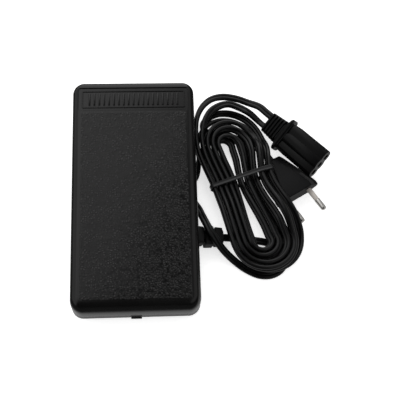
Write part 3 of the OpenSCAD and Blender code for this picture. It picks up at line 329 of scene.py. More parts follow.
def combine(piece, tools, how):
    """Adds or cuts each tool with an exact boolean, and deletes the tools."""
    for tool in tools:
        modifier = piece.modifiers.new("combine", "BOOLEAN")
        modifier.operation, modifier.solver, modifier.object = how, "EXACT", tool
        graph = bpy.context.evaluated_depsgraph_get()
        made = bpy.data.meshes.new_from_object(piece.evaluated_get(graph))
        piece.modifiers.clear()
        old, piece.data = piece.data, made
        bpy.data.meshes.remove(old)
        bpy.data.objects.remove(tool)
    if not piece.data.polygons:
        raise RuntimeError(f"{piece.name} came out empty")


def joined(name, pieces, sharp=35):
    """One object from several."""
    bm = bmesh.new()
    for piece in pieces:
        piece.data.transform(piece.matrix_world)
        bm.from_mesh(piece.data)
        bpy.data.objects.remove(piece)
    mesh = bpy.data.meshes.new(name)
    bm.to_mesh(mesh)
    bm.free()
    piece = bpy.data.objects.new(name, mesh)
    bpy.context.scene.collection.objects.link(piece)
    tidy_normals(piece, sharp)
    return piece


def wear(piece, material):
    piece.data.materials.clear()
    piece.data.materials.append(material)


def settle(piece, body, slot, material, *nodes):
    """Gives a piece its finish and its body, and hides the imported nodes that it stands for."""
    wear(piece, material)
    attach(piece, body)
    if nodes:
        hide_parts(*nodes)


# ---- Cord routes, in metres ----------------------------------------------------------------
def to_plan(w, s):
    """x and y of a point w across the hank and s along it."""
    c, d = math.cos(HANK_LEAN), math.sin(HANK_LEAN)
    return HANK_AT[0] - s * d + w * c, HANK_AT[1] + s * c + w * d


def waist(s):
    """How far the hank is drawn in at s along it, from 0 to 1."""
    half = WAIST_BELOW if s < 0 else WAIST_ABOVE
    return (1 + math.cos(math.pi * s / half)) / 2 if abs(s) < half else 0


def ground(w, s):
    """How high the hank's lowest turns lie: they ride up over the plug and over the lead."""
    plug = PLUG_RISE * smooth((w - 0.001) / 0.012) * smooth((s + 0.052) / 0.026) \
        * smooth((0.036 - s) / 0.024)
    lead = LEAD_RISE * smooth((-0.013 - w) / 0.008) * smooth((s + 0.06) / 0.018) \
        * smooth((-0.004 - s) / 0.016)
    return HANK_LIFT + plug + lead


def hank_point(g, first):
    """x, y, z and roll at station g: up the left, round the top, down the right, round below."""
    turn, p = divmod(g, STATIONS)
    bend = TOP_END - LEFT_END
    bends = 2 * turn + min(1, max(0, (p - LEFT_END) / bend)) \
        + min(1, max(0, (p - RIGHT_END) / bend))
    run = RUN_HIGH - RUN_LOW
    if p < LEFT_END:
        angle, along = 180, RUN_LOW + run * p / LEFT_END
    elif p < TOP_END:
        angle, along = 180 - 180 / bend * (p - LEFT_END), RUN_HIGH
    elif p < RIGHT_END:
        angle, along = 0, RUN_HIGH - run * (p - TOP_END) / (RIGHT_END - TOP_END)
    else:
        angle, along = -180 / bend * (p - RIGHT_END), RUN_LOW
    a, m, u = math.radians(angle), waist(along), abs(first - bends)
    rolled, pull, stretch = 0, 0, 0
    if p <= LEFT_END:
        pull = WAIST_LEFT * m
    elif p < TOP_END:
        stretch = TOP_STRETCH
    elif p <= RIGHT_END:
        rolled = WAIST_ROLL * m
        pull = -(WAIST_RIGHT + (CORD_W - CORD_T) * WAIST_ROLL * u) * m
    else:
        stretch = 1
    flat = math.cos(RIGHT_ROLL) * (1 + math.cos(a)) / 2 - rolled
    roll = math.acos(max(-1, min(1, flat)))
    r = LOOP_R + STEP_MEAN * u
    w = LOOP_X + STEP_SWING * u + r * math.cos(a) + pull
    s = along + stretch * r * math.sin(a)
    half_high = (CORD_T + (CORD_W - CORD_T) * math.sin(roll)) / 2
    upper = smooth((g - STATIONS // 2 * first - 0.5) / 3)
    z = ground(w, s) + half_high + upper * (2 * half_high + TURN_GAP)
    x, y = to_plan(w, s)
    return x, y, z, math.degrees(roll)


def hank_route(start, first):
    """The hank from a station to its end, with two points to a station."""
    return [hank_point(start + k / 2, first) for k in range((HANK_END - start) * 2 + 1)]


def heading(turn, pitch):
    return Vector((math.cos(turn) * math.cos(pitch), math.sin(turn) * math.cos(pitch),
                   math.sin(pitch)))


def inlet(k, back=0.0):
    """Where a cord enters the connector: k is 1 or -1, back is a distance before it."""
    ahead = heading(CONN_TURN, CONN_PITCH)
    level = Vector((-math.sin(CONN_TURN), math.cos(CONN_TURN), 0))
    side = level * math.cos(CONN_ROLL) + ahead.cross(level) * math.sin(CONN_ROLL)
    p = (Vector(CONN_AT) + side * k * CONN_INLET) * MM - ahead * back
    return p.x, p.y, p.z, -math.degrees(CONN_ROLL)


def plug_rear(back=0.0):
    p = Vector((*PLUG_AT, PLUG_REAR_T / 2)) * MM - heading(PLUG_TURN, PLUG_TILT) * back
    return p.x, p.y, p.z, 0


def boot_end(back=0.0):
    length = BOOT_L * MM - back
    return (BOOT_AT[0] * MM + length * math.cos(BOOT_DROOP), BOOT_AT[1] * MM,
            BOOT_AT[2] * MM - length * math.sin(BOOT_DROOP), 0)


def even_route(points, step):
    """The smooth curve through the points, with its roll, at even steps."""
    p = np.array(points, float)
    gaps = np.maximum(np.linalg.norm(np.diff(p[:, :3], axis=0), axis=1), 1e-6) ** 0.5
    t = np.concatenate([[0], np.cumsum(gaps)])
    slope = np.empty_like(p)
    slope[1:-1] = [
        (p[i] - p[i - 1]) / (t[i] - t[i - 1]) - (p[i + 1] - p[i - 1]) / (t[i + 1] - t[i - 1])
        + (p[i + 1] - p[i]) / (t[i + 1] - t[i]) for i in range(1, len(p) - 1)]
    slope[0], slope[-1] = (p[1] - p[0]) / gaps[0], (p[-1] - p[-2]) / gaps[-1]
    fine = []
    for i in range(len(p) - 1):
        h = t[i + 1] - t[i]
        for u in np.linspace(0, 1, 12, endpoint=False):
            fine.append((2 * u**3 - 3 * u**2 + 1) * p[i] + (u**3 - 2 * u**2 + u) * h * slope[i]
                        + (3 * u**2 - 2 * u**3) * p[i + 1] + (u**3 - u**2) * h * slope[i + 1])
    fine = np.array(fine + [p[-1]])
    far = np.concatenate([[0], np.cumsum(np.linalg.norm(np.diff(fine[:, :3], axis=0), axis=1))])
    places = np.linspace(0, far[-1], int(far[-1] / step) + 1)
    return np.column_stack([np.interp(places, far, fine[:, k]) for k in range(4)]), far[-1]


def twin_section():
    """Outline of the flat twin cord: two round cores side by side with a groove between."""
    r, off, n = CORD_T / 2, CORD_W / 2 - CORD_T / 2, 12
    edge = math.acos(-off / r)
    half = [(off + r * math.cos(a), r * math.sin(a)) for a in np.linspace(-edge, edge, n + 2)]
    return half + [(-x, -y) for x, y in half[1:-1]]


def cord_mesh(name, route, section):
    """A tube with the section's own roll at every point of the route."""
    loops = []
    for i, q in enumerate(route):
        ahead = Vector(route[min(i + 1, len(route) - 1)][:3]) - Vector(route[max(i - 1, 0)][:3])
        t = ahead.normalized()
        side = t.cross(Vector((0, 0, 1))).normalized()
        up = side.cross(t)
        c, s = math.cos(math.radians(q[3])), math.sin(math.radians(q[3]))
        across, through = side * c + up * s, up * c - side * s
        loops.append([tuple(Vector(q[:3]) + across * x + through * y) for x, y in section])
    verts, faces = loft(loops)
    return new_piece(name, verts, faces, scale=1.0, sharp=50)


# ---- Shader groups and finishes ------------------------------------------------------------
FLOAT, COLOUR, VECTOR = "NodeSocketFloat", "NodeSocketColor", "NodeSocketVector"


def shader_group(name, inputs, outputs):
    """Makes a shader node group of named sockets once; the function under it wires the inside.

    That function gets the tree, the place on the object and the given values, and returns a
    socket for each output.
    """
    def decorate(wire):
        def group():
            tree = bpy.data.node_groups.get(name)
            if tree:
                return tree
            tree = bpy.data.node_groups.new(name, "ShaderNodeTree")
            for label, kind, value in inputs:
                socket = tree.interface.new_socket(name=label, in_out="INPUT", socket_type=kind)
                socket.default_value = value
            for label, kind in outputs:
                tree.interface.new_socket(name=label, in_out="OUTPUT", socket_type=kind)
            given = tree.nodes.new("NodeGroupInput")
            out = tree.nodes.new("NodeGroupOutput")
            at = add_node(tree, "ShaderNodeTexCoord").outputs["Object"]
            for made, target in zip(wire(tree, at, given.outputs), out.inputs):
                tree.links.new(made, target)
            return tree
        return group
    return decorate


def add_node(tree, kind, settings=None, **inputs):
    """A node with its settings, and its inputs set by name (spaces as _) or by link."""
    node = tree.nodes.new(kind)
    for key, value in (settings or {}).items():
        setattr(node, key, value)
    for key, value in inputs.items():
        name = key.replace("_", " ")
        socket = node.inputs[int(key[1:])] if key[0] == "i" and key[1:].isdigit() \
            else node.inputs[name]
        if isinstance(value, bpy.types.NodeSocket):
            tree.links.new(value, socket)
        else:
            socket.default_value = value
    return node


def math_node(tree, operation, a, b=0.0):
    return add_node(tree, "ShaderNodeMath", {"operation": operation}, i0=a, i1=b).outputs[0]


def times(tree, a, b):
    return math_node(tree, "MULTIPLY", a, b)


def map_range(tree, value, low, high, to=(0.0, 1.0), eased=False):
    """Takes the range from low to high onto the range of to, and stops at its ends."""
    kind = "SMOOTHSTEP" if eased else "LINEAR"
    return add_node(tree, "ShaderNodeMapRange", {"interpolation_type": kind}, Value=value,
                    From_Min=low, From_Max=high, To_Min=to[0], To_Max=to[1]).outputs[0]


def mix(tree, share, a, b, blend="MIX"):
    settings = {"data_type": "RGBA", "blend_type": blend}
    return add_node(tree, "ShaderNodeMix", settings, i0=share, i6=a, i7=b).outputs[2]


def noise(tree, at, scale, detail, roughness=0.5):
    return add_node(tree, "ShaderNodeTexNoise", Vector=at, Scale=scale, Detail=detail,
                    Roughness=roughness).outputs


def mirrored_ray(tree, path):
    """1 for a ray that a shiny or clear surface has sent on, 0 for others."""
    return math_node(tree, "MAXIMUM", path.outputs["Is Glossy Ray"],
                     path.outputs["Is Transmission Ray"])


@shader_group("Moulded Cloud",
              [("Colour", COLOUR, (0.02, 0.02, 0.02, 1)), ("Tint", COLOUR, (0.03, 0.03, 0.03, 1)),
               ("Scale", FLOAT, 40.0), ("Roughness", FLOAT, 0.4), ("Swing", FLOAT, 0.08)],
              [("Colour", COLOUR), ("Roughness", FLOAT)])
def cloud_group(tree, at, given):
    """Slow drifts of colour and gloss over a moulded surface."""
    drift = map_range(tree, noise(tree, at, given["Scale"], 5.0, 0.6)["Fac"], 0.3, 0.7)
    swing = times(tree, math_node(tree, "SUBTRACT", drift, 0.5), given["Swing"])
    return (mix(tree, drift, given["Colour"], given["Tint"]),
            math_node(tree, "ADD", given["Roughness"], swing))


@shader_group("Mould Spark", [("Scale", FLOAT, 1800.0)], [("Height", FLOAT)])
def spark_group(tree, at, given):
    """Fine spark-eroded texture of a mould."""
    return (noise(tree, at, given["Scale"], 3.0, 0.55)["Fac"],)


@shader_group("Pebble Grain", [("Cell", FLOAT, 0.0013)], [("Height", FLOAT), ("Shade", FLOAT)])
def grain_group(tree, at, given):
    """Pebbled leather grain: rounded cells with creases between them."""
    scale = math_node(tree, "DIVIDE", 1.0, given["Cell"])
    bend = noise(tree, at, times(tree, scale, 0.8), 2.0)["Color"]
    offset = add_node(tree, "ShaderNodeVectorMath", {"operation": "SCALE"}, i0=bend,
                      Scale=times(tree, given["Cell"], 0.35))
    moved = add_node(tree, "ShaderNodeVectorMath", {"operation": "ADD"}, i0=at,
                     i1=offset.outputs[0]).outputs[0]
    cells = add_node(tree, "ShaderNodeTexVoronoi", {"feature": "DISTANCE_TO_EDGE"},
                     Vector=moved, Scale=scale, Randomness=1.0)
    crease = map_range(tree, cells.outputs["Distance"], 0.04, 0.34, eased=True)
    fine = noise(tree, at, times(tree, scale, 2.6), 3.0)["Fac"]
    # Each pebble has a tone of its own; the Shade output darkens the creases with painted shade
    pebble = add_node(tree, "ShaderNodeTexVoronoi", {"feature": "F1"}, Vector=moved,
                      Scale=scale, Randomness=1.0)
    own = add_node(tree, "ShaderNodeSeparateColor", Color=pebble.outputs["Color"]).outputs[0]
    return (math_node(tree, "ADD", crease, times(tree, fine, 0.5)),
            times(tree, crease, map_range(tree, own, 0.0, 1.0, (0.5, 1.0))))


@shader_group("Laminate Weave", [("Scale", FLOAT, 700.0)], [("Mask", FLOAT)])
def weave_group(tree, at, given):
    """Crossed fibres that show through a laminate."""
    return (times(tree, *(add_node(tree, "ShaderNodeTexWave", {"bands_direction": axis}, Vector=at,
                                   Scale=given["Scale"], Distortion=1.0,
                                   Detail=1.0).outputs["Fac"] for axis in "XY")),)


@shader_group("Drawn Lines", [("Stretch", VECTOR, (1.0, 20.0, 20.0)), ("Scale", FLOAT, 150.0)],
              [("Height", FLOAT)])
def brush_group(tree, at, given):
    """Fine lines of drawn or brushed metal along one axis."""
    stretched = add_node(tree, "ShaderNodeVectorMath", {"operation": "MULTIPLY"}, i0=at,
                         i1=given["Stretch"])
    return (noise(tree, stretched.outputs[0], given["Scale"], 2.0)["Fac"],)


def place_group(tree, group, **inputs):
    return add_node(tree, "ShaderNodeGroup", {"node_tree": group}, **inputs)


def rgba(colour):
    return (*tuple(colour)[:3], 1.0)


def finish(name, colour, tint, roughness, swing=0.08, cloud=40.0, height=None, depth=0.0,
           **shader):
    """A material: drifting colour and gloss, a bump from the height group, plain shader values."""
    material = bpy.data.materials.get(name)
    if material:
        return material
    material = bpy.data.materials.new(name)
    material.use_nodes = True
    tree = material.node_tree
    bsdf = tree.nodes["Principled BSDF"]
    cloud_node = place_group(tree, cloud_group(), Colour=rgba(colour), Tint=rgba(tint),
                             Scale=cloud, Roughness=roughness, Swing=swing)
    tree.links.new(cloud_node.outputs["Colour"], bsdf.inputs["Base Color"])
    tree.links.new(cloud_node.outputs["Roughness"], bsdf.inputs["Roughness"])
    if height:
        group, values = height
        source = place_group(tree, group, **values)
        bump = add_node(tree, "ShaderNodeBump", Height=source.outputs["Height"],
                        Distance=depth, Strength=1.0)
        tree.links.new(bump.outputs[0], bsdf.inputs["Normal"])
    for key, value in shader.items():
        bsdf.inputs[key.replace("_", " ")].default_value = value
    return material


def plastic(name, colour, roughness, tint=None, depth=0.00003, **shader):
    tint = tint or tuple(min(1.0, c * 1.4) for c in colour)
    return finish(name, colour, tint, roughness, height=(spark_group(), {"Scale": 1800.0}),
                  depth=depth, **shader)


def metal(name, colour, roughness, stretch=(1.0, 20.0, 20.0)):
    tint = tuple(c * 0.86 for c in colour)
    return finish(name, colour, tint, roughness, cloud=120.0,
                  height=(brush_group(), {"Stretch": stretch}), depth=0.00001, Metallic=1.0)


def treadle_finish():
    """Satin black plastic whose middle field is grained and whose border is smooth."""
    name = "treadle satin black"
    material = bpy.data.materials.get(name)
    if material:
        return material
    material = plastic(name, colours().treadle, 0.2, swing=0.03, depth=0.000005,
                       Specular_IOR_Level=0.45)
    tree = material.node_tree
    shader = tree.nodes["Principled BSDF"].inputs
    place = add_node(tree, "ShaderNodeTexCoord")
    axes = add_node(tree, "ShaderNodeSeparateXYZ", Vector=place.outputs["Object"])
    facing = add_node(tree, "ShaderNodeSeparateXYZ", Vector=place.outputs["Normal"])

    def inside(value, low, high):
        rise = map_range(tree, value, low, low + GRAIN_EDGE, eased=True)
        fall = map_range(tree, value, high - GRAIN_EDGE, high, (1.0, 0.0), eased=True)
        return times(tree, rise, fall)

    field = times(tree, inside(axes.outputs[0], *GRAIN_X), inside(axes.outputs[1], *GRAIN_Y))
    field = times(tree, field, math_node(tree, "GREATER_THAN", facing.outputs[2], 0.6))
    grain = place_group(tree, grain_group(), Cell=sizes().grain_size)
    gloss = shader["Roughness"].links[0].from_socket
    tree.links.new(math_node(tree, "ADD", gloss, times(tree, field, 0.02)), shader["Roughness"])
    plain = shader["Base Color"].links[0].from_socket
    # Grained field: the pebbles' colour, painted near black in the creases as shade
    pebbles_and_painted_crease_shade = mix(tree, grain.outputs["Shade"], (0.0003, 0.0003, 0.0003, 1),
                  rgba(colours().pebble))
    tree.links.new(mix(tree, field, plain, pebbles_and_painted_crease_shade), shader["Base Color"])
    height = times(tree, grain.outputs["Height"], field)
    bump = add_node(tree, "ShaderNodeBump", Height=height, Distance=sizes().grain_depth,
                    Strength=1.0, Normal=shader["Normal"].links[0].from_socket)
    tree.links.new(bump.outputs[0], shader["Normal"])
    return material


# ---- Treadle -------------------------------------------------------------------------------
def top_z(y):
    return HEEL_H + (y + TREADLE_L / 2) * math.tan(TILT)


def under_z(y):
    return top_z(y) - WALL / math.cos(TILT)


def treadle_loop(inset, drop, heel=0.0):
    """A loop round the treadle, drawn in by inset and lowered by drop, and by heel at the heel."""
    r = max(CORNER_R - inset, 0.6)
    return [(x, y, top_z(y) - drop - heel * smooth((-y - TREADLE_L / 2 + 12) / 8))
            for x, y in rounded_rect(TREADLE_W / 2 - inset, TREADLE_L / 2 - inset, r, 12)]


def on_top(loops, y):
    """Loops laid on the treadle's sloping top, z counted up from it."""
    matrix = Matrix.Translation((0, y, top_z(y))) @ Matrix.Rotation(TILT, 4, "X")
    return placed(loops, matrix)


def stiffener(half_x, half_y, half_z, x, y):
    """A rib with softened edges below the treadle's top."""
    soft = 0.15
    rows = ((-half_z, soft), (-half_z + soft, 0), (half_z - soft, 0), (half_z, soft))
    loops = [[(px, py, z) for px, py in rounded_rect(half_x - i, half_y - i, soft * 2, 2)]
             for z, i in rows]
    matrix = Matrix.Translation((x, y, under_z(y) - 0.3)) @ Matrix.Rotation(TILT, 4, "X")
    return new_piece("stiffener", *loft(placed(loops, matrix)))


def rod(name, profile, matrix):
    return new_piece(name, *loft(placed(lathe(profile), matrix)))


UPRIGHT = Matrix.Rotation(math.radians(-90), 4, "Y")


def treadle_shell():
    """The hollow shell: rounded top edge, skirt, softened lower lip and inner faces."""
    e = sizes().edge_radius / MM
    loops = []
    for k in range(9):
        a = math.pi / 2 * k / 8
        fall = e - e * math.cos(a)
        loops.append(treadle_loop(e - e * math.sin(a), fall, heel=HEEL_SOFT * fall / e))
    lip = 0.35
    loops += [treadle_loop(0, SKIRT - lip), treadle_loop(lip * 0.3, SKIRT - lip * 0.3),
              treadle_loop(lip, SKIRT), treadle_loop(WALL - lip, SKIRT),
              treadle_loop(WALL, SKIRT - lip)]
    inner = e - WALL
    for k in range(6):
        a = math.pi / 2 * (1 - k / 5)
        loops.append(treadle_loop(e - inner * math.sin(a), e - inner * math.cos(a)))
    return new_piece("treadle_shell", *loft(loops))


def treadle_panel_cutter():
    """The cutter for the recessed panel, eased at its floor and at its mouth."""
    rows = ((-PANEL_DEEP, 0.12), (-PANEL_DEEP + 0.12, 0), (-0.28, 0), (0.02, -0.3), (1.5, -0.9))
    loops = stacked(PANEL_L / 2, PANEL_W / 2, PANEL_CORNER, rows)
    return new_piece("panel_cutter", *loft(on_top(loops, PANEL_Y)))


def treadle_panel_frame():
    """The raised line round the panel, closed on itself."""
    low, high = -PANEL_DEEP - 0.2, -0.2
    rows = ((low, 0), (high - 0.15, 0), (high, 0.15), (high, 0.65), (high - 0.15, 0.8), (low, 0.8))
    loops = stacked(PANEL_L / 2 - FRAME_INSET_X, PANEL_W / 2 - FRAME_INSET_Y, 0.9, rows, 4)
    return new_piece("panel_frame", *loft(on_top(loops, PANEL_Y), closed=True))


def treadle_panel_ribs():
    pitch = (PANEL_L - 2 * RIB_INSET_X) / RIB_COUNT
    half_x, half_y = pitch * RIB_HALF_SHARE, PANEL_W / 2 - RIB_INSET_Y
    rows = ((-PANEL_DEEP - 0.2, 0), (-0.38, 0), (-0.22, 0.08), (-0.15, 0.24))
    ribs = []
    for i in range(RIB_COUNT):
        loops = stacked(half_x, half_y, 0.45, rows, 3, (i - (RIB_COUNT - 1) / 2) * pitch)
        ribs.append(new_piece("rib", *loft(on_top(loops, PANEL_Y))))
    return ribs


def treadle_ear(side):
    """An ear that turns on the hinge rod."""
    top = under_z(HINGE_Y) + 1
    outline = [(HINGE_Y + EAR_R * math.cos(a), HINGE_Z + EAR_R * math.sin(a))
               for a in np.linspace(math.pi, 2 * math.pi, 17)]
    outline += [(HINGE_Y + EAR_R + 4, top), (HINGE_Y - EAR_R - 2, top)]
    x = side * (EAR_X + EAR_T / 2)
    loops = [[(x + dx * EAR_T / 2, y, z) for y, z in outline] for dx in (-1, 1)]
    return new_piece("ear", *loft(loops))


def boot_notch():
    """The cutter for the skirt's opening, which clears the boot at full tilt."""
    top = BOOT_AT[2] + BOOT_H / 2 + (BOOT_AT[1] - HINGE_Y) * math.sin(FULL_TILT) + NOTCH_ROOM
    half, r, quarter = BOOT_W / 2 + NOTCH_SIDE, 1.5, np.linspace(0, math.pi / 2, 6)
    arch = [(-half, -2), (half, -2)]
    arch += [(half - r + r * math.cos(a), top - r + r * math.sin(a)) for a in quarter]
    arch += [(-half + r - r * math.sin(a), top - r + r * math.cos(a)) for a in quarter]
    loops = [[(x, BOOT_AT[1] + y, z) for y, z in arch]
             for x in (TREADLE_W / 2 - WALL - 1.5, TREADLE_W / 2 + 1.5)]
    return new_piece("notch", *loft(loops))


def build_treadle():
    shell = treadle_shell()
    added = [stiffener(STIFFENER_HALF, TREADLE_L / 2 - STIFFENER_INSET_Y, STIFFENER_HALF, x, -2)
             for x in STIFFENER_X]
    added += [stiffener(TREADLE_W / 2 - STIFFENER_INSET_X, STIFFENER_HALF, 0.68, 0, y)
              for y in STIFFENER_Y]
    boss = (Matrix.Translation((0, WIPER_Y, under_z(WIPER_Y) - BOSS_DROP))
            @ Matrix.Rotation(FULL_TILT / 2, 4, "X") @ UPRIGHT)
    added.append(rod("boss", ((0, BOSS_R - 0.4), (0.4, BOSS_R), (3.2, BOSS_R)), boss))
    seat_r, post_r = SPRING_D / 2 + 1, (SPRING_D - 2 * SPRING_WIRE - 0.6) / 2
    for side in (-1, 1):
        at = (Matrix.Translation((side * SPRING_X, SPRING_Y, under_z(SPRING_Y) - SEAT_DROP))
              @ UPRIGHT)
        added.append(rod("seat", ((0, seat_r), (2.2, seat_r)), at))
        added.append(rod("post", ((-4, post_r - 0.6), (-3.4, post_r), (1, post_r)), at))
        added.append(treadle_ear(side))
    combine(shell, added, "UNION")
    bore = rod("bore", ((-38, ROD_R + ROD_GAP), (38, ROD_R + ROD_GAP)),
               Matrix.Translation((0, HINGE_Y, HINGE_Z)))
    combine(shell, [bore, treadle_panel_cutter(), boot_notch()], "DIFFERENCE")
    combine(shell, [treadle_panel_frame(), *treadle_panel_ribs()], "UNION")
    tidy_normals(shell, 32)
    return shell


# ---- Cord boot -----------------------------------------------------------------------------
def build_boot():
    """The moulded boot: a neck and flanges in the wall, then three stepped lumps on a core."""
    core, pitch = (BOOT_W * 0.62, BOOT_H * 0.6, 2), BOOT_L / len(LUMPS)
    rows = [(0.3, *core)]
    for i, (wide, high) in enumerate(LUMPS):
        w, h, last = BOOT_W * wide, BOOT_H * high, i == len(LUMPS) - 1
        x0, x1 = i * pitch + (0.6 if i else 0.9), (i + 1) * pitch - (0.2 if last else 0.5)
        back, share = (1.2, 0.94) if last else (0.35, 0.96)
        rows += [(x0, *core), (x0 + 0.02, w - 0.7, h - 0.7, 2), (x0 + 0.35, w, h, 2.3),
                 (x1 - 1.2, w * 0.965, h * 0.965, 2.3), (x1 - back, w * share, h * share, 2.3)]
        if last:
            rows += [(x1 - 0.1, w * 0.7, h * 0.7, 2.2), (x1, w * 0.6, h * 0.6, 2)]
        else:
            rows += [(x1 - 0.02, w - 1.2, h - 1.2, 2), (x1, *core)]
    droop = Matrix.Translation(BOOT_AT) @ Matrix.Rotation(BOOT_DROOP, 4, "Y")
    lumps = new_piece("cord_boot_moulding", *loft(placed(bars(rows, 6), droop)), sharp=40)
    z0, z1 = TRAY_FLOOR + 0.1, BOOT_AT[2] + BOOT_H / 2
    level = Matrix.Translation((0, BOOT_AT[1], BOOT_AT[2]))
    middle = Matrix.Translation((0, BOOT_AT[1], (z0 + z1) / 2))
    outer = [(TRAY_OUTSIDE + x, BOOT_W - less, BOOT_H - less, 2.2)
             for x, less in ((0.05, 0.4), (0.25, 0), (1.4, 0), (1.6, 0.4))]
    neck = [(TRAY_INSIDE + x, BOOT_W - 3.2, BOOT_H - 3.2, 2.2) for x in (-1, 3.2)]
    inner = [(TRAY_INSIDE - x, BOOT_W - less, z1 - z0 - less, 2.2)
             for x, less in ((2.2, 0.4), (2.0, 0), (0.05, 0))]
    parts = [new_piece("part", *loft(placed(bars(part, 6), matrix)))
             for part, matrix in ((outer, level), (neck, level), (inner, middle))]
    combine(lumps, parts, "UNION")
    tidy_normals(lumps, 40)
    return lumps


# ---- Strap round the hank ------------------------------------------------------------------
def hank_hull(s, grow):
    """Outline of the turns at s along the hank, grown, as (across, up) points."""
    share = LEFT_END * (s - RUN_LOW) / (RUN_HIGH - RUN_LOW)
    centres = []
    for first, start in ((LEAD_FIRST, LEAD_START), (MAINS_FIRST, MAINS_START)):
        stations = [STATIONS * turn + p for turn in range(HANK_END // STATIONS + 1)
                    for p in (share, RIGHT_END - share)]
        for g in (g for g in stations if start < g < HANK_END):
            x, y, z, roll = hank_point(g, first)
            w = (x - HANK_AT[0]) * math.cos(HANK_LEAN) + (y - HANK_AT[1]) * math.sin(HANK_LEAN)
            a, half = math.radians(roll), (CORD_W - CORD_T) / 2
            centres += [(w + i * half * math.cos(a), z + j * half * math.sin(a))
                        for i in (-1, 1) for j in (-1, 1)]
    centres = np.array(centres)
    outline = []
    for a in angles_round(120):
        d = np.array((math.cos(a), math.sin(a)))
        outline.append(tuple(centres[np.argmax(centres @ d)] + d * (CORD_T / 2 + grow)))
    return outline


def build_strap():
    """The strap round the hank's waist: a flat band with a beaded edge."""
    width = sizes().strap_width
    profile = ((-0.5, 0.25), (-0.44, 0.8), (-0.36, 1.0), (-0.22, 0.75), (0.22, 0.75), (0.36, 1.0),
               (0.44, 0.8), (0.5, 0.25), (0.4, 0.0), (-0.4, 0.0))
    rings = [[(*to_plan(w, TIE_S + along * width), z)
              for w, z in hank_hull(TIE_S + along * width, TIE_GAP + lift * TIE_T)]
             for along, lift in profile]
    return new_piece("hank_strap", *loft(list(zip(*rings)), closed=True), scale=1.0)


# ---- Connector -----------------------------------------------------------------------------
def lobed_section(x, wide, swell):
    """A section across the connector: a rounded bar with a round lobe at each socket."""
    outer_r, middle_r = (CONN_T - 2.6) / 2 * swell, (CONN_T - 0.8) / 2 * swell
    half, n, top = wide / 2, 18, []
    for k in range(n + 1):
        y = -half * math.cos(math.pi * k / n)
        past = max(0.0, abs(y) - (half - CONN_CORNER)) / CONN_CORNER
        h = CONN_BAR_T * swell / 2 * max(0.0, 1 - past ** 2) ** 0.5
        for at, r in ((-SOCKET_PITCH, outer_r), (0, middle_r), (SOCKET_PITCH, outer_r)):
            if abs(y - at) < r:
                h = max(h, math.sqrt(r * r - (y - at) ** 2))
        top.append((x, y, max(h, 0.05)))
    return top + [(px, py, -pz) for px, py, pz in reversed(top[1:-1])]


def build_connector():
    matrix = (Matrix.Translation(CONN_AT) @ Matrix.Rotation(CONN_TURN, 4, "Z")
              @ Matrix.Rotation(-CONN_PITCH, 4, "Y") @ Matrix.Rotation(CONN_ROLL, 4, "X"))
    rows = [(0, CORE_W - 0.4, CORE_T - 0.4), (0.2, CORE_W, CORE_T)]
    pitch = CONN_RELIEF / RING_COUNT
    for i in range(RING_COUNT):
        w, x0, x1 = RING_W + 0.5 * i, i * pitch + 0.5, i * pitch + pitch - 0.4
        rows += [(x0 - 0.05, CORE_W, CORE_T), (x0, w - 0.7, RING_T - 0.7), (x0 + 0.3, w, RING_T),
                 (x1 - 0.3, w, RING_T), (x1, w - 0.7, RING_T - 0.7), (x1 + 0.05, CORE_W, CORE_T)]
    rows.append((CONN_RELIEF, CORE_W + 1, CORE_T + 0.6))
    rows += [(CONN_RELIEF + x, w, t) for x, w, t in CONN_FLANGE]
    loops = bars([(*row, CONN_CORNER) for row in rows], 7)
    relief = new_piece("connector_moulding", *loft(placed(loops, matrix)), sharp=40)
    start = CONN_RELIEF + CONN_WING
    body = [lobed_section(x, CONN_W - less, swell) for x, less, swell in (
        (start + 0.2, 1.6, 0.96), (start + 4, 0.8, 0.98), (start + 8, 0, 1), (CONN_L - 0.4, 0, 1),
        (CONN_L, 0.6, 0.965))]
    combine(relief, [new_piece("body", *loft(placed(body, matrix)), sharp=30)], "UNION")
    mouth = SOCKET_R + SOCKET_WALL
    hole = ((CONN_L - SOCKET_DEEP, mouth), (CONN_L - 0.35, mouth), (CONN_L + 0.2, SOCKET_R + 1.25),
            (CONN_L + 1, SOCKET_R + 1.4))
    holes = [rod("hole", hole, matrix @ Matrix.Translation((0, k * SOCKET_PITCH, 0)))
             for k in (-1, 0, 1)]
    combine(relief, holes, "DIFFERENCE")
    tidy_normals(relief, 32)
    return relief


# ---- Plug ----------------------------------------------------------------------------------
def plug_section(x, wide, high, lift):
    """A flattened hexagon with rounded ends, standing on its lower edge."""
    end, flat = wide / 2 - PLUG_END_R, wide / 2 - PLUG_SLOPE
    quarter = np.linspace(0, math.pi / 2, 5)
    outline = []
    for sy, sz in ((1, -1), (1, 1), (-1, 1), (-1, -1)):
        arc = [(sy * (end + PLUG_END_R * math.cos(a)), sz * PLUG_END_R * math.sin(a))
               for a in quarter]
        corner = (sy * flat, sz * high / 2)
        outline += [*arc, corner] if sy == sz else [corner, *arc[::-1]]
    return [(x, y, z + lift + high / 2) for y, z in outline]


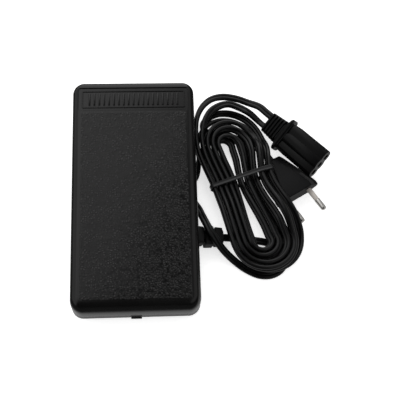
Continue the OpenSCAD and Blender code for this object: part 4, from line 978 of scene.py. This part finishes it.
def build_plug():
    matrix = Matrix.Translation((*PLUG_AT, 0)) @ Matrix.Rotation(PLUG_TURN, 4, "Z")
    wide, high = PLUG_W - 5, PLUG_T - 1.2
    stages = [(0, PLUG_REAR_W - 0.8, PLUG_REAR_T - 0.8, 0.4), (0.5, PLUG_REAR_W, PLUG_REAR_T, 0)]
    for k in range(1, PLUG_TAPER_STEPS + 1):
        u = k / PLUG_TAPER_STEPS
        stages.append((PLUG_TAPER_L * u, PLUG_REAR_W + (wide - PLUG_REAR_W) * u,
                       PLUG_REAR_T + (high - PLUG_REAR_T) * u, 0.1 * u))
    stages += [(PLUG_L - 3, PLUG_W, PLUG_T, 0), (PLUG_L - 0.5, PLUG_W, PLUG_T, 0),
               (PLUG_L, PLUG_W - 0.8, PLUG_T - 0.8, 0.4)]
    loops = placed([plug_section(*stage) for stage in stages], matrix)
    plug = new_piece("plug_moulding", *loft(loops), sharp=24)
    axis = (matrix @ Matrix.Translation((0, 0, PLUG_REAR_T / 2))
            @ Matrix.Rotation(-PLUG_TILT, 4, "Y"))
    bores, pins, sleeves = [], [], []
    shank, tip = PIN_D / 2 - 0.5, PIN_D / 2
    pin = ((-8, shank), (SLEEVE_L, shank), (SLEEVE_L + 0.02, tip - 0.15), (SLEEVE_L + 0.2, tip),
           (PIN_L - 1.6, tip), (PIN_L - 0.8, tip * 0.92), (PIN_L - 0.25, tip * 0.7),
           (PIN_L, tip * 0.3))
    sleeve = ((-6, SLEEVE_R), (SLEEVE_L - 0.15, SLEEVE_R), (SLEEVE_L - 0.05, SLEEVE_R - 0.1),
              (SLEEVE_L - 0.05, SLEEVE_BORE_R), (-6, SLEEVE_BORE_R))
    for side in (-1, 1):
        across = side * PIN_PITCH / 2
        bores.append(rod("bore", ((PLUG_L - 8, PIN_BORE_R), (PLUG_L + 4, PIN_BORE_R)),
                         axis @ Matrix.Translation((0, across, 0))))
        at = axis @ Matrix.Translation((PLUG_L, across, 0))
        pins.append(rod("pin", pin, at))
        sleeves.append(new_piece("sleeve", *loft(placed(lathe(sleeve), at), closed=True)))
    combine(plug, bores, "DIFFERENCE")
    tidy_normals(plug, 24)
    return plug, joined("pin_pair", pins), joined("sleeve_pair", sleeves)


# ---- Springs, winding and the cord inside --------------------------------------------------
def coil(name, d, wire, turns, z0, height, at):
    """A compression spring with closed ends, as one tube."""
    sides, per_turn = sizes().spring_sides, 28
    r, loops = (d - wire) / 2, []
    for i in range(turns * per_turn + 1):
        t = i / per_turn
        a = 2 * math.pi * t
        share = 0.04 * t if t < 1 else 1 - 0.04 * (turns - t) if t > turns - 1 \
            else 0.04 + 0.92 * (t - 1) / (turns - 2)
        z = z0 + wire / 2 + (height - wire) * share
        loops.append([((r + wire / 2 * math.cos(b)) * math.cos(a) + at[0],
                       (r + wire / 2 * math.cos(b)) * math.sin(a) + at[1],
                       z + wire / 2 * math.sin(b))
                      for b in angles_round(sides)])
    return new_piece(name, *loft(loops), sharp=60)


def round_tube(name, points, radius, sides=12, closed=False):
    """A round wire along points, in millimetres."""
    loops, n = [], len(points)
    for i in range(n):
        a = Vector(points[(i - 1) % n] if closed else points[max(i - 1, 0)])
        b = Vector(points[(i + 1) % n] if closed else points[min(i + 1, n - 1)])
        t = (b - a).normalized()
        side = t.cross(Vector((0, 0, 1)))
        side = side.normalized() if side.length > 1e-6 else Vector((1, 0, 0))
        up = side.cross(t)
        loops.append([tuple(Vector(points[i]) + radius * (side * math.cos(c) + up * math.sin(c)))
                      for c in angles_round(sides)])
    return new_piece(name, *loft(loops, closed), sharp=60)


# ---- Operators -----------------------------------------------------------------------------
class FOOTCONTROL_OT_camera(bpy.types.Operator):
    """Sets the camera that looks down on the pedal and its cords"""

    bl_idname = "foot_control.camera"
    bl_label = "Camera"

    def execute(self, context):
        camera = bpy.data.objects.new("camera", bpy.data.cameras.new("camera"))
        context.scene.collection.objects.link(camera)
        camera.data.lens, camera.data.sensor_width = LENS, FILM_W
        camera.data.clip_start, camera.data.clip_end = CLIP_NEAR, CLIP_FAR
        right = Vector(CAMERA_RIGHT)
        back = right.cross(Vector(CAMERA_UP)).normalized()
        up = back.cross(right).normalized()
        turn = Matrix((right.normalized(), up, back)).transposed().to_4x4()
        camera.matrix_world = Matrix.Translation(CAMERA_AT) @ turn
        context.scene.camera = camera
        return {"FINISHED"}


class FOOTCONTROL_OT_cords(bpy.types.Operator):
    """Makes the lead to the connector and the mains cord to the plug"""

    bl_idname = "foot_control.cords"
    bl_label = "Cords"

    def execute(self, context):
        step = sizes().cord_ring_step
        lead, lead_length = even_route(
            [boot_end(0.003), boot_end(), *LEAD_OUT, *hank_route(LEAD_START, LEAD_FIRST),
             *LEAD_BACK, inlet(1, 0.006), inlet(1), inlet(1, -0.002)], step)
        mains, mains_length = even_route(
            [inlet(-1, -0.002), inlet(-1), inlet(-1, 0.006), *reversed(MAINS_BACK),
             *reversed(hank_route(MAINS_START, MAINS_FIRST)), *reversed(MAINS_OUT),
             plug_rear(0.006), plug_rear(), plug_rear(-0.002)], step)
        section = twin_section()
        sheath = finish("cord glossy sheath", colours().cord, (0.0032, 0.0032, 0.0034), 0.3,
                        cloud=60.0, height=(spark_group(), {"Scale": 900.0}),
                        depth=0.00001, Specular_IOR_Level=0.36)
        lead_cord = cord_mesh("lead_cord", lead, section)
        settle(lead_cord, BASE, "cord_pvc", sheath, "lead_cord_from_pedal", "lead_cord_hank",
               "lead_cord_to_connector")
        mains_cord = cord_mesh("mains_cord", mains, section)
        settle(mains_cord, BASE, "cord_pvc", sheath, "mains_cord_to_connector",
               "mains_cord_hank", "mains_cord_to_plug")
        context.scene["lead_route"] = [c for p in lead for c in p[:3]]
        context.scene["mains_route"] = [c for p in mains for c in p[:3]]
        context.scene["cord_lengths"] = [lead_length, mains_length]
        return {"FINISHED"}


class FOOTCONTROL_OT_treadle(bpy.types.Operator):
    """Makes the treadle with its grained top, panel, skirt and ribbed underside"""

    bl_idname = "foot_control.treadle"
    bl_label = "Treadle"

    def execute(self, context):
        settle(build_treadle(), TREADLE, "treadle_plastic", treadle_finish(), "treadle")
        return {"FINISHED"}


class FOOTCONTROL_OT_boot(bpy.types.Operator):
    """Makes the stepped boot where the lead leaves the base"""

    bl_idname = "foot_control.boot"
    bl_label = "Cord Boot"

    def execute(self, context):
        rubber = plastic("boot soft black", (0.0018, 0.0018, 0.0019), 0.5,
                         Specular_IOR_Level=0.3)
        settle(build_boot(), BASE, "boot_rubber", rubber, "cord_boot")
        return {"FINISHED"}


class FOOTCONTROL_OT_strap(bpy.types.Operator):
    """Makes the strap round the hank's waist"""

    bl_idname = "foot_control.strap"
    bl_label = "Hank Strap"

    def execute(self, context):
        strap = plastic("strap black", (0.011, 0.011, 0.0115), 0.3, Specular_IOR_Level=0.42)
        settle(build_strap(), BASE, "tie_plastic", strap, "hank_tie")
        return {"FINISHED"}


class FOOTCONTROL_OT_connector(bpy.types.Operator):
    """Makes the three-hole connector with its ribbed relief"""

    bl_idname = "foot_control.connector"
    bl_label = "Connector"

    def execute(self, context):
        shell = plastic("connector black", colours().connector, 0.3, Specular_IOR_Level=0.17)
        settle(build_connector(), BASE, "connector_plastic", shell, "connector_body")
        return {"FINISHED"}


class FOOTCONTROL_OT_plug(bpy.types.Operator):
    """Makes the flat two-pin plug with its pins and sleeves"""

    bl_idname = "foot_control.plug"
    bl_label = "Plug"

    def execute(self, context):
        plug, pins, sleeves = build_plug()
        grey = plastic("plug dark grey", colours().plug, 0.48, Specular_IOR_Level=0.16)
        nickel = metal("pin nickel", (0.78, 0.76, 0.73), 0.22)
        sleeve = plastic("pin sleeve grey", colours().sleeve, 0.45)
        settle(plug, BASE, "plug_plastic", grey, "plug_body")
        settle(pins, BASE, "pin_nickel", nickel, "plug_pins")
        settle(sleeves, BASE, "sleeve_plastic", sleeve, "pin_sleeves")
        return {"FINISHED"}


class FOOTCONTROL_OT_springs(bpy.types.Operator):
    """Winds the treadle springs and the wiper spring"""

    bl_idname = "foot_control.springs"
    bl_label = "Springs"

    def execute(self, context):
        wire = metal("spring wire", (0.62, 0.62, 0.63), 0.28)
        z0 = TRAY_FLOOR + SPRING_GAP
        high = under_z(SPRING_Y) - SEAT_DROP - TRAY_FLOOR - 2 * SPRING_GAP
        pair = joined("treadle_spring_pair", [
            coil("spring", SPRING_D, SPRING_WIRE, SPRING_TURNS, z0, high, (sx * SPRING_X, SPRING_Y))
            for sx in (-1, 1)], sharp=60)
        settle(pair, BASE, "spring_steel", wire, "treadle_springs")
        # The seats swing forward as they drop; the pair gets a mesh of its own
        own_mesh(pair)
        roof = under_z(WIPER_Y) - BOSS_DROP - CARRIER_DROP - CARRIER_ROOF
        high = roof - TRAY_FLOOR - 2 * SPRING_GAP
        small = coil("wiper_spring_coil", WIPER_SPRING_D, WIPER_WIRE, WIPER_TURNS, z0, high,
                     (0, WIPER_Y))
        settle(small, BASE, "spring_steel", wire, "wiper_spring")
        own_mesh(small)
        return {"FINISHED"}


class FOOTCONTROL_OT_inside(bpy.types.Operator):
    """Makes the choke's winding and the cord's tail inside the base"""

    bl_idname = "foot_control.inside"
    bl_label = "Winding and Tail"

    def execute(self, context):
        ring = rounded_rect((CHOKE_OUTER - CHOKE_INNER) / 2 + CHOKE_STAND,
                            (CHOKE_HIGH - CHOKE_LOW) / 2 + CHOKE_STAND, 0.7, 4)
        middle_r, middle_z = (CHOKE_OUTER + CHOKE_INNER) / 2, (CHOKE_LOW + CHOKE_HIGH) / 2
        turns = []
        for a in angles_round(CHOKE_TURNS):
            points = [((middle_r + u) * math.cos(a) + CHOKE_X,
                       (middle_r + u) * math.sin(a) + CHOKE_Y, middle_z + v) for u, v in ring]
            turns.append(round_tube("turn", points, CHOKE_WIRE_R, 8, closed=True))
        winding = joined("choke_winding_wire", turns, sharp=60)
        enamel = finish("enamelled copper", (0.55, 0.2, 0.08), (0.4, 0.13, 0.05), 0.28,
                        cloud=300.0, Metallic=0.85, Coat_Weight=0.5)
        settle(winding, BASE, "winding_wire", enamel, "choke_winding")
        self.make_tail()
        return {"FINISHED"}

    def make_tail(self):
        """The flat cord from the boot to the clamp, then its two cores to the terminals."""
        section = [(x / MM, y / MM) for x, y in twin_section()]
        loops = [[(x, BOOT_AT[1] + y, BOOT_AT[2] + z) for y, z in section]
                 for x in (SHEATH_END, TRAY_INSIDE - 2.2)]
        parts = [new_piece("flat", *loft(loops), sharp=50)]
        for i in (0, 1):
            a = np.array((SHEATH_END + 0.5, BOOT_AT[1] + (2 * i - 1) * CORE_OFF, BOOT_AT[2]))
            c = np.array((BLOCK_X + CORE_IN, BLOCK_Y + (i + 0.5) * BLOCK_PITCH,
                          BOARD_TOP + CORE_UP))
            b = np.array((BOARD_X + BOARD_W + 1.5, c[1], c[2]))
            way = [a + (b - a) * t for t in np.linspace(0, 1, 12)]
            way += [b + (c - b) * t for t in np.linspace(0, 1, 6)[1:]]
            for _ in range(6):
                eased = [(p + 2 * q + r) / 4 for p, q, r in zip(way, way[1:], way[2:])]
                way = [way[0], *eased, way[-1]]
            parts.append(round_tube("core", [tuple(p) for p in way], CORE_R))
        sheath = bpy.data.materials["cord glossy sheath"]
        settle(joined("cord_tail_cores", parts, sharp=50), BASE, "cord_pvc", sheath, "cord_tail")


class FOOTCONTROL_OT_hardware(bpy.types.Operator):
    """Gives the tray, feet, screws, board and its components their finishes"""

    bl_idname = "foot_control.hardware"
    bl_label = "Base and Electronics"

    def execute(self, context):
        laminate = plastic("board laminate", (0.42, 0.28, 0.12), 0.4, (0.33, 0.2, 0.08))
        self.add_weave(laminate)
        finishes = (
            (plastic("tray black", (0.012, 0.012, 0.0125), 0.45), "base_tray"),
            (plastic("cover black", (0.016, 0.016, 0.017), 0.5), "inner_cover", "cord_clamp"),
            (plastic("foot rubber", (0.02, 0.02, 0.02), 0.75, depth=0.00006), "rubber_feet",
             "stop_buffers"),
            (metal("rod steel", (0.7, 0.7, 0.71), 0.25), "hinge_rod"),
            (metal("zinc steel", (0.66, 0.67, 0.7), 0.35), "cover_screws", "board_screws",
             "terminal_screws", "clamp_screws"),
            (plastic("carrier acetal", (0.75, 0.73, 0.67), 0.35, (0.7, 0.67, 0.6),
                     Subsurface_Weight=0.05), "wiper_carrier"),
            (metal("contact brass", (0.78, 0.58, 0.28), 0.25), "contact_fingers"),
            (metal("socket brass", (0.7, 0.55, 0.32), 0.3), "connector_contacts"),
            (laminate, "resistor_board", "circuit_board"),
            (metal("sink aluminium", (0.8, 0.81, 0.82), 0.4, (20.0, 1.0, 20.0)), "heat_sink"),
            (plastic("epoxy case", (0.015, 0.015, 0.016), 0.55), "triac"),
            (plastic("film capacitor", (0.5, 0.1, 0.03), 0.35), "film_capacitor"),
            (plastic("timing capacitor", (0.6, 0.45, 0.05), 0.35), "timing_capacitor"),
            (plastic("iron powder core", (0.1, 0.11, 0.09), 0.7, depth=0.0001), "choke_core"),
            (plastic("resistor ceramic", (0.55, 0.4, 0.22), 0.5), "resistors"),
            (plastic("trimmer blue", (0.03, 0.1, 0.4), 0.35), "trimmer"),
            (plastic("block nylon", (0.7, 0.7, 0.66), 0.4), "terminal_block"),
        )
        for material, *nodes in finishes:
            for node in nodes:
                wear(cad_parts[node], material)
        return {"FINISHED"}

    def add_weave(self, material):
        tree = material.node_tree
        base = tree.nodes["Principled BSDF"].inputs["Base Color"]
        weave = place_group(tree, weave_group(), Scale=700.0)
        share = times(tree, weave.outputs["Mask"], 0.4)
        woven = mix(tree, share, base.links[0].from_socket, (0.55, 0.42, 0.2, 1))
        tree.links.new(woven, base)


class FOOTCONTROL_OT_stage(bpy.types.Operator):
    """Lays the pale floor and sets the studio lamps"""

    bl_idname = "foot_control.stage"
    bl_label = "Stage"

    def execute(self, context):
        scene = context.scene
        scene.view_settings.view_transform = "Standard"
        corners = [(x * FLOOR_HALF, y * FLOOR_HALF, 0)
                   for x, y in ((-1, -1), (1, -1), (1, 1), (-1, 1))]
        floor = new_piece("floor", corners, [(0, 1, 2, 3)], scale=1.0)
        material = bpy.data.materials.new("backdrop white")
        material.use_nodes = True
        tree = material.node_tree
        tree.nodes.clear()
        out = tree.nodes.new("ShaderNodeOutputMaterial")
        path = add_node(tree, "ShaderNodeLightPath")
        # Reflections find a painted pool of light on the floor: bright round the pedal and to its
        # right, and dim elsewhere
        place = add_node(tree, "ShaderNodeTexCoord")
        axes = add_node(tree, "ShaderNodeSeparateXYZ", Vector=place.outputs["Object"])
        left = times(tree, axes.outputs[0], -1.0)
        ends = math_node(tree, "ABSOLUTE", axes.outputs[1])
        outside = [math_node(tree, "MAXIMUM", math_node(tree, "SUBTRACT", far, half * MM), 0.0)
                   for far, half in ((left, TREADLE_W / 2), (ends, TREADLE_L / 2))]
        corner = add_node(tree, "ShaderNodeCombineXYZ", X=outside[0], Y=outside[1])
        away = add_node(tree, "ShaderNodeVectorMath", {"operation": "LENGTH"},
                        i0=corner.outputs[0])
        pool = map_range(tree, away.outputs["Value"], *POOL_EDGE, (POOL_BRIGHT, POOL_DIM),
                         eased=True)
        # Painted pool of light: for reflections the floor's colour and glow follow it
        shade = mix(tree, path.outputs["Is Glossy Ray"], (1, 1, 1, 1), pool)
        tone = mix(tree, 1.0, rgba(colours().backdrop), shade, "MULTIPLY")
        matt = add_node(tree, "ShaderNodeBsdfDiffuse", Color=tone)
        mirrored = times(tree, pool, mirrored_ray(tree, path))
        seen = math_node(tree, "ADD", path.outputs["Is Camera Ray"], mirrored)
        glow = add_node(tree, "ShaderNodeEmission", Color=(1, 1, 1, 1),
                        Strength=times(tree, seen, FLOOR_GLOW))
        both = add_node(tree, "ShaderNodeAddShader", i0=matt.outputs[0], i1=glow.outputs[0])
        tree.links.new(both.outputs[0], out.inputs["Surface"])
        floor.data.materials.append(material)
        self.set_world(scene)
        for lamp in LAMPS:
            self.add_lamp(*lamp)
        return {"FINISHED"}

    def set_world(self, scene):
        world = bpy.data.worlds.new("studio")
        scene.world = world
        world.use_nodes = True
        tree = world.node_tree
        tree.nodes.clear()
        out = tree.nodes.new("ShaderNodeOutputWorld")
        path = add_node(tree, "ShaderNodeLightPath")
        place = add_node(tree, "ShaderNodeTexCoord")
        axes = add_node(tree, "ShaderNodeSeparateXYZ", Vector=place.outputs["Generated"])
        # Reflections find a broad soft light at the back left, weaker at its far left, and a
        # glow above on the right; the rest of the room is dark
        toward = add_node(tree, "ShaderNodeVectorMath", {"operation": "DOT_PRODUCT"},
                          i0=place.outputs["Generated"], i1=SOFT_SIDE)
        soft = map_range(tree, toward.outputs["Value"], *SOFT_EDGE, (ROOM_DARK, SOFT_BRIGHT))
        left = map_range(tree, axes.outputs[0], *LEFT_EDGE, (1.0, LEFT_SHARE))
        right = map_range(tree, axes.outputs[0], *RIGHT_EDGE, (0.0, RIGHT_GLOW))
        upper = map_range(tree, axes.outputs[2], *UPPER_EDGE)
        lit = math_node(tree, "ADD", times(tree, soft, left), times(tree, right, upper))
        glossy = times(tree, lit, mirrored_ray(tree, path))
        shown = math_node(tree, "MAXIMUM", path.outputs["Is Camera Ray"], glossy)
        strength = math_node(tree, "MAXIMUM", shown,
                             times(tree, path.outputs["Is Diffuse Ray"], ROOM_FILL))
        sky = add_node(tree, "ShaderNodeBackground", Color=(1, 1, 1, 1), Strength=strength)
        tree.links.new(sky.outputs[0], out.inputs["Surface"])

    def add_lamp(self, name, place, size, power):
        """A lamp that reflections don't find, because the world holds what they find."""
        lamp = bpy.data.objects.new(name, bpy.data.lights.new(name, "AREA"))
        bpy.context.scene.collection.objects.link(lamp)
        lamp.data.shape, lamp.data.energy = "RECTANGLE", power
        lamp.data.size, lamp.data.size_y = size
        lamp.location = place
        aim = Vector(LAMP_AIM) - lamp.location
        lamp.rotation_euler = aim.to_track_quat("-Z", "Y").to_euler()
        lamp.visible_glossy = False


class FOOTCONTROL_OT_declare(bpy.types.Operator):
    """Does nothing; the cords step keeps their lengths on the scene"""

    bl_idname = "foot_control.declare"
    bl_label = "Cord Facts"

    def execute(self, context):
        return {"FINISHED"}


class FOOTCONTROL_PT_panel(bpy.types.Panel):
    """Lists what the foot control is built from"""

    bl_idname = "FOOTCONTROL_PT_panel"
    bl_label = "Foot Control"
    bl_space_type = "VIEW_3D"
    bl_region_type = "UI"
    bl_category = "Foot Control"

    def draw(self, context):
        for group in (context.scene.foot_control_sizes, context.scene.foot_control_colours):
            box = self.layout.box()
            for key in group.bl_rna.properties.keys():
                if key not in ("rna_type", "name"):
                    box.prop(group, key)
        column = self.layout.column(align=True)
        for step in STEPS:
            column.operator(step.bl_idname)


STEPS = (
    FOOTCONTROL_OT_camera, FOOTCONTROL_OT_cords, FOOTCONTROL_OT_treadle, FOOTCONTROL_OT_boot,
    FOOTCONTROL_OT_strap, FOOTCONTROL_OT_connector, FOOTCONTROL_OT_plug, FOOTCONTROL_OT_springs,
    FOOTCONTROL_OT_inside, FOOTCONTROL_OT_hardware, FOOTCONTROL_OT_declare, FOOTCONTROL_OT_stage,
)
CLASSES = (FootControlSizes, FootControlColours, *STEPS, FOOTCONTROL_PT_panel)


def register():
    for cls in CLASSES:
        bpy.utils.register_class(cls)
    bpy.types.Scene.foot_control_sizes = PointerProperty(type=FootControlSizes)
    bpy.types.Scene.foot_control_colours = PointerProperty(type=FootControlColours)


def unregister():
    del bpy.types.Scene.foot_control_colours
    del bpy.types.Scene.foot_control_sizes
    for cls in reversed(CLASSES):
        bpy.utils.unregister_class(cls)


def main():
    register()
    for step in STEPS:
        area, name = step.bl_idname.split(".")
        getattr(getattr(bpy.ops, area), name)()


if __name__ == "__main__":
    main()
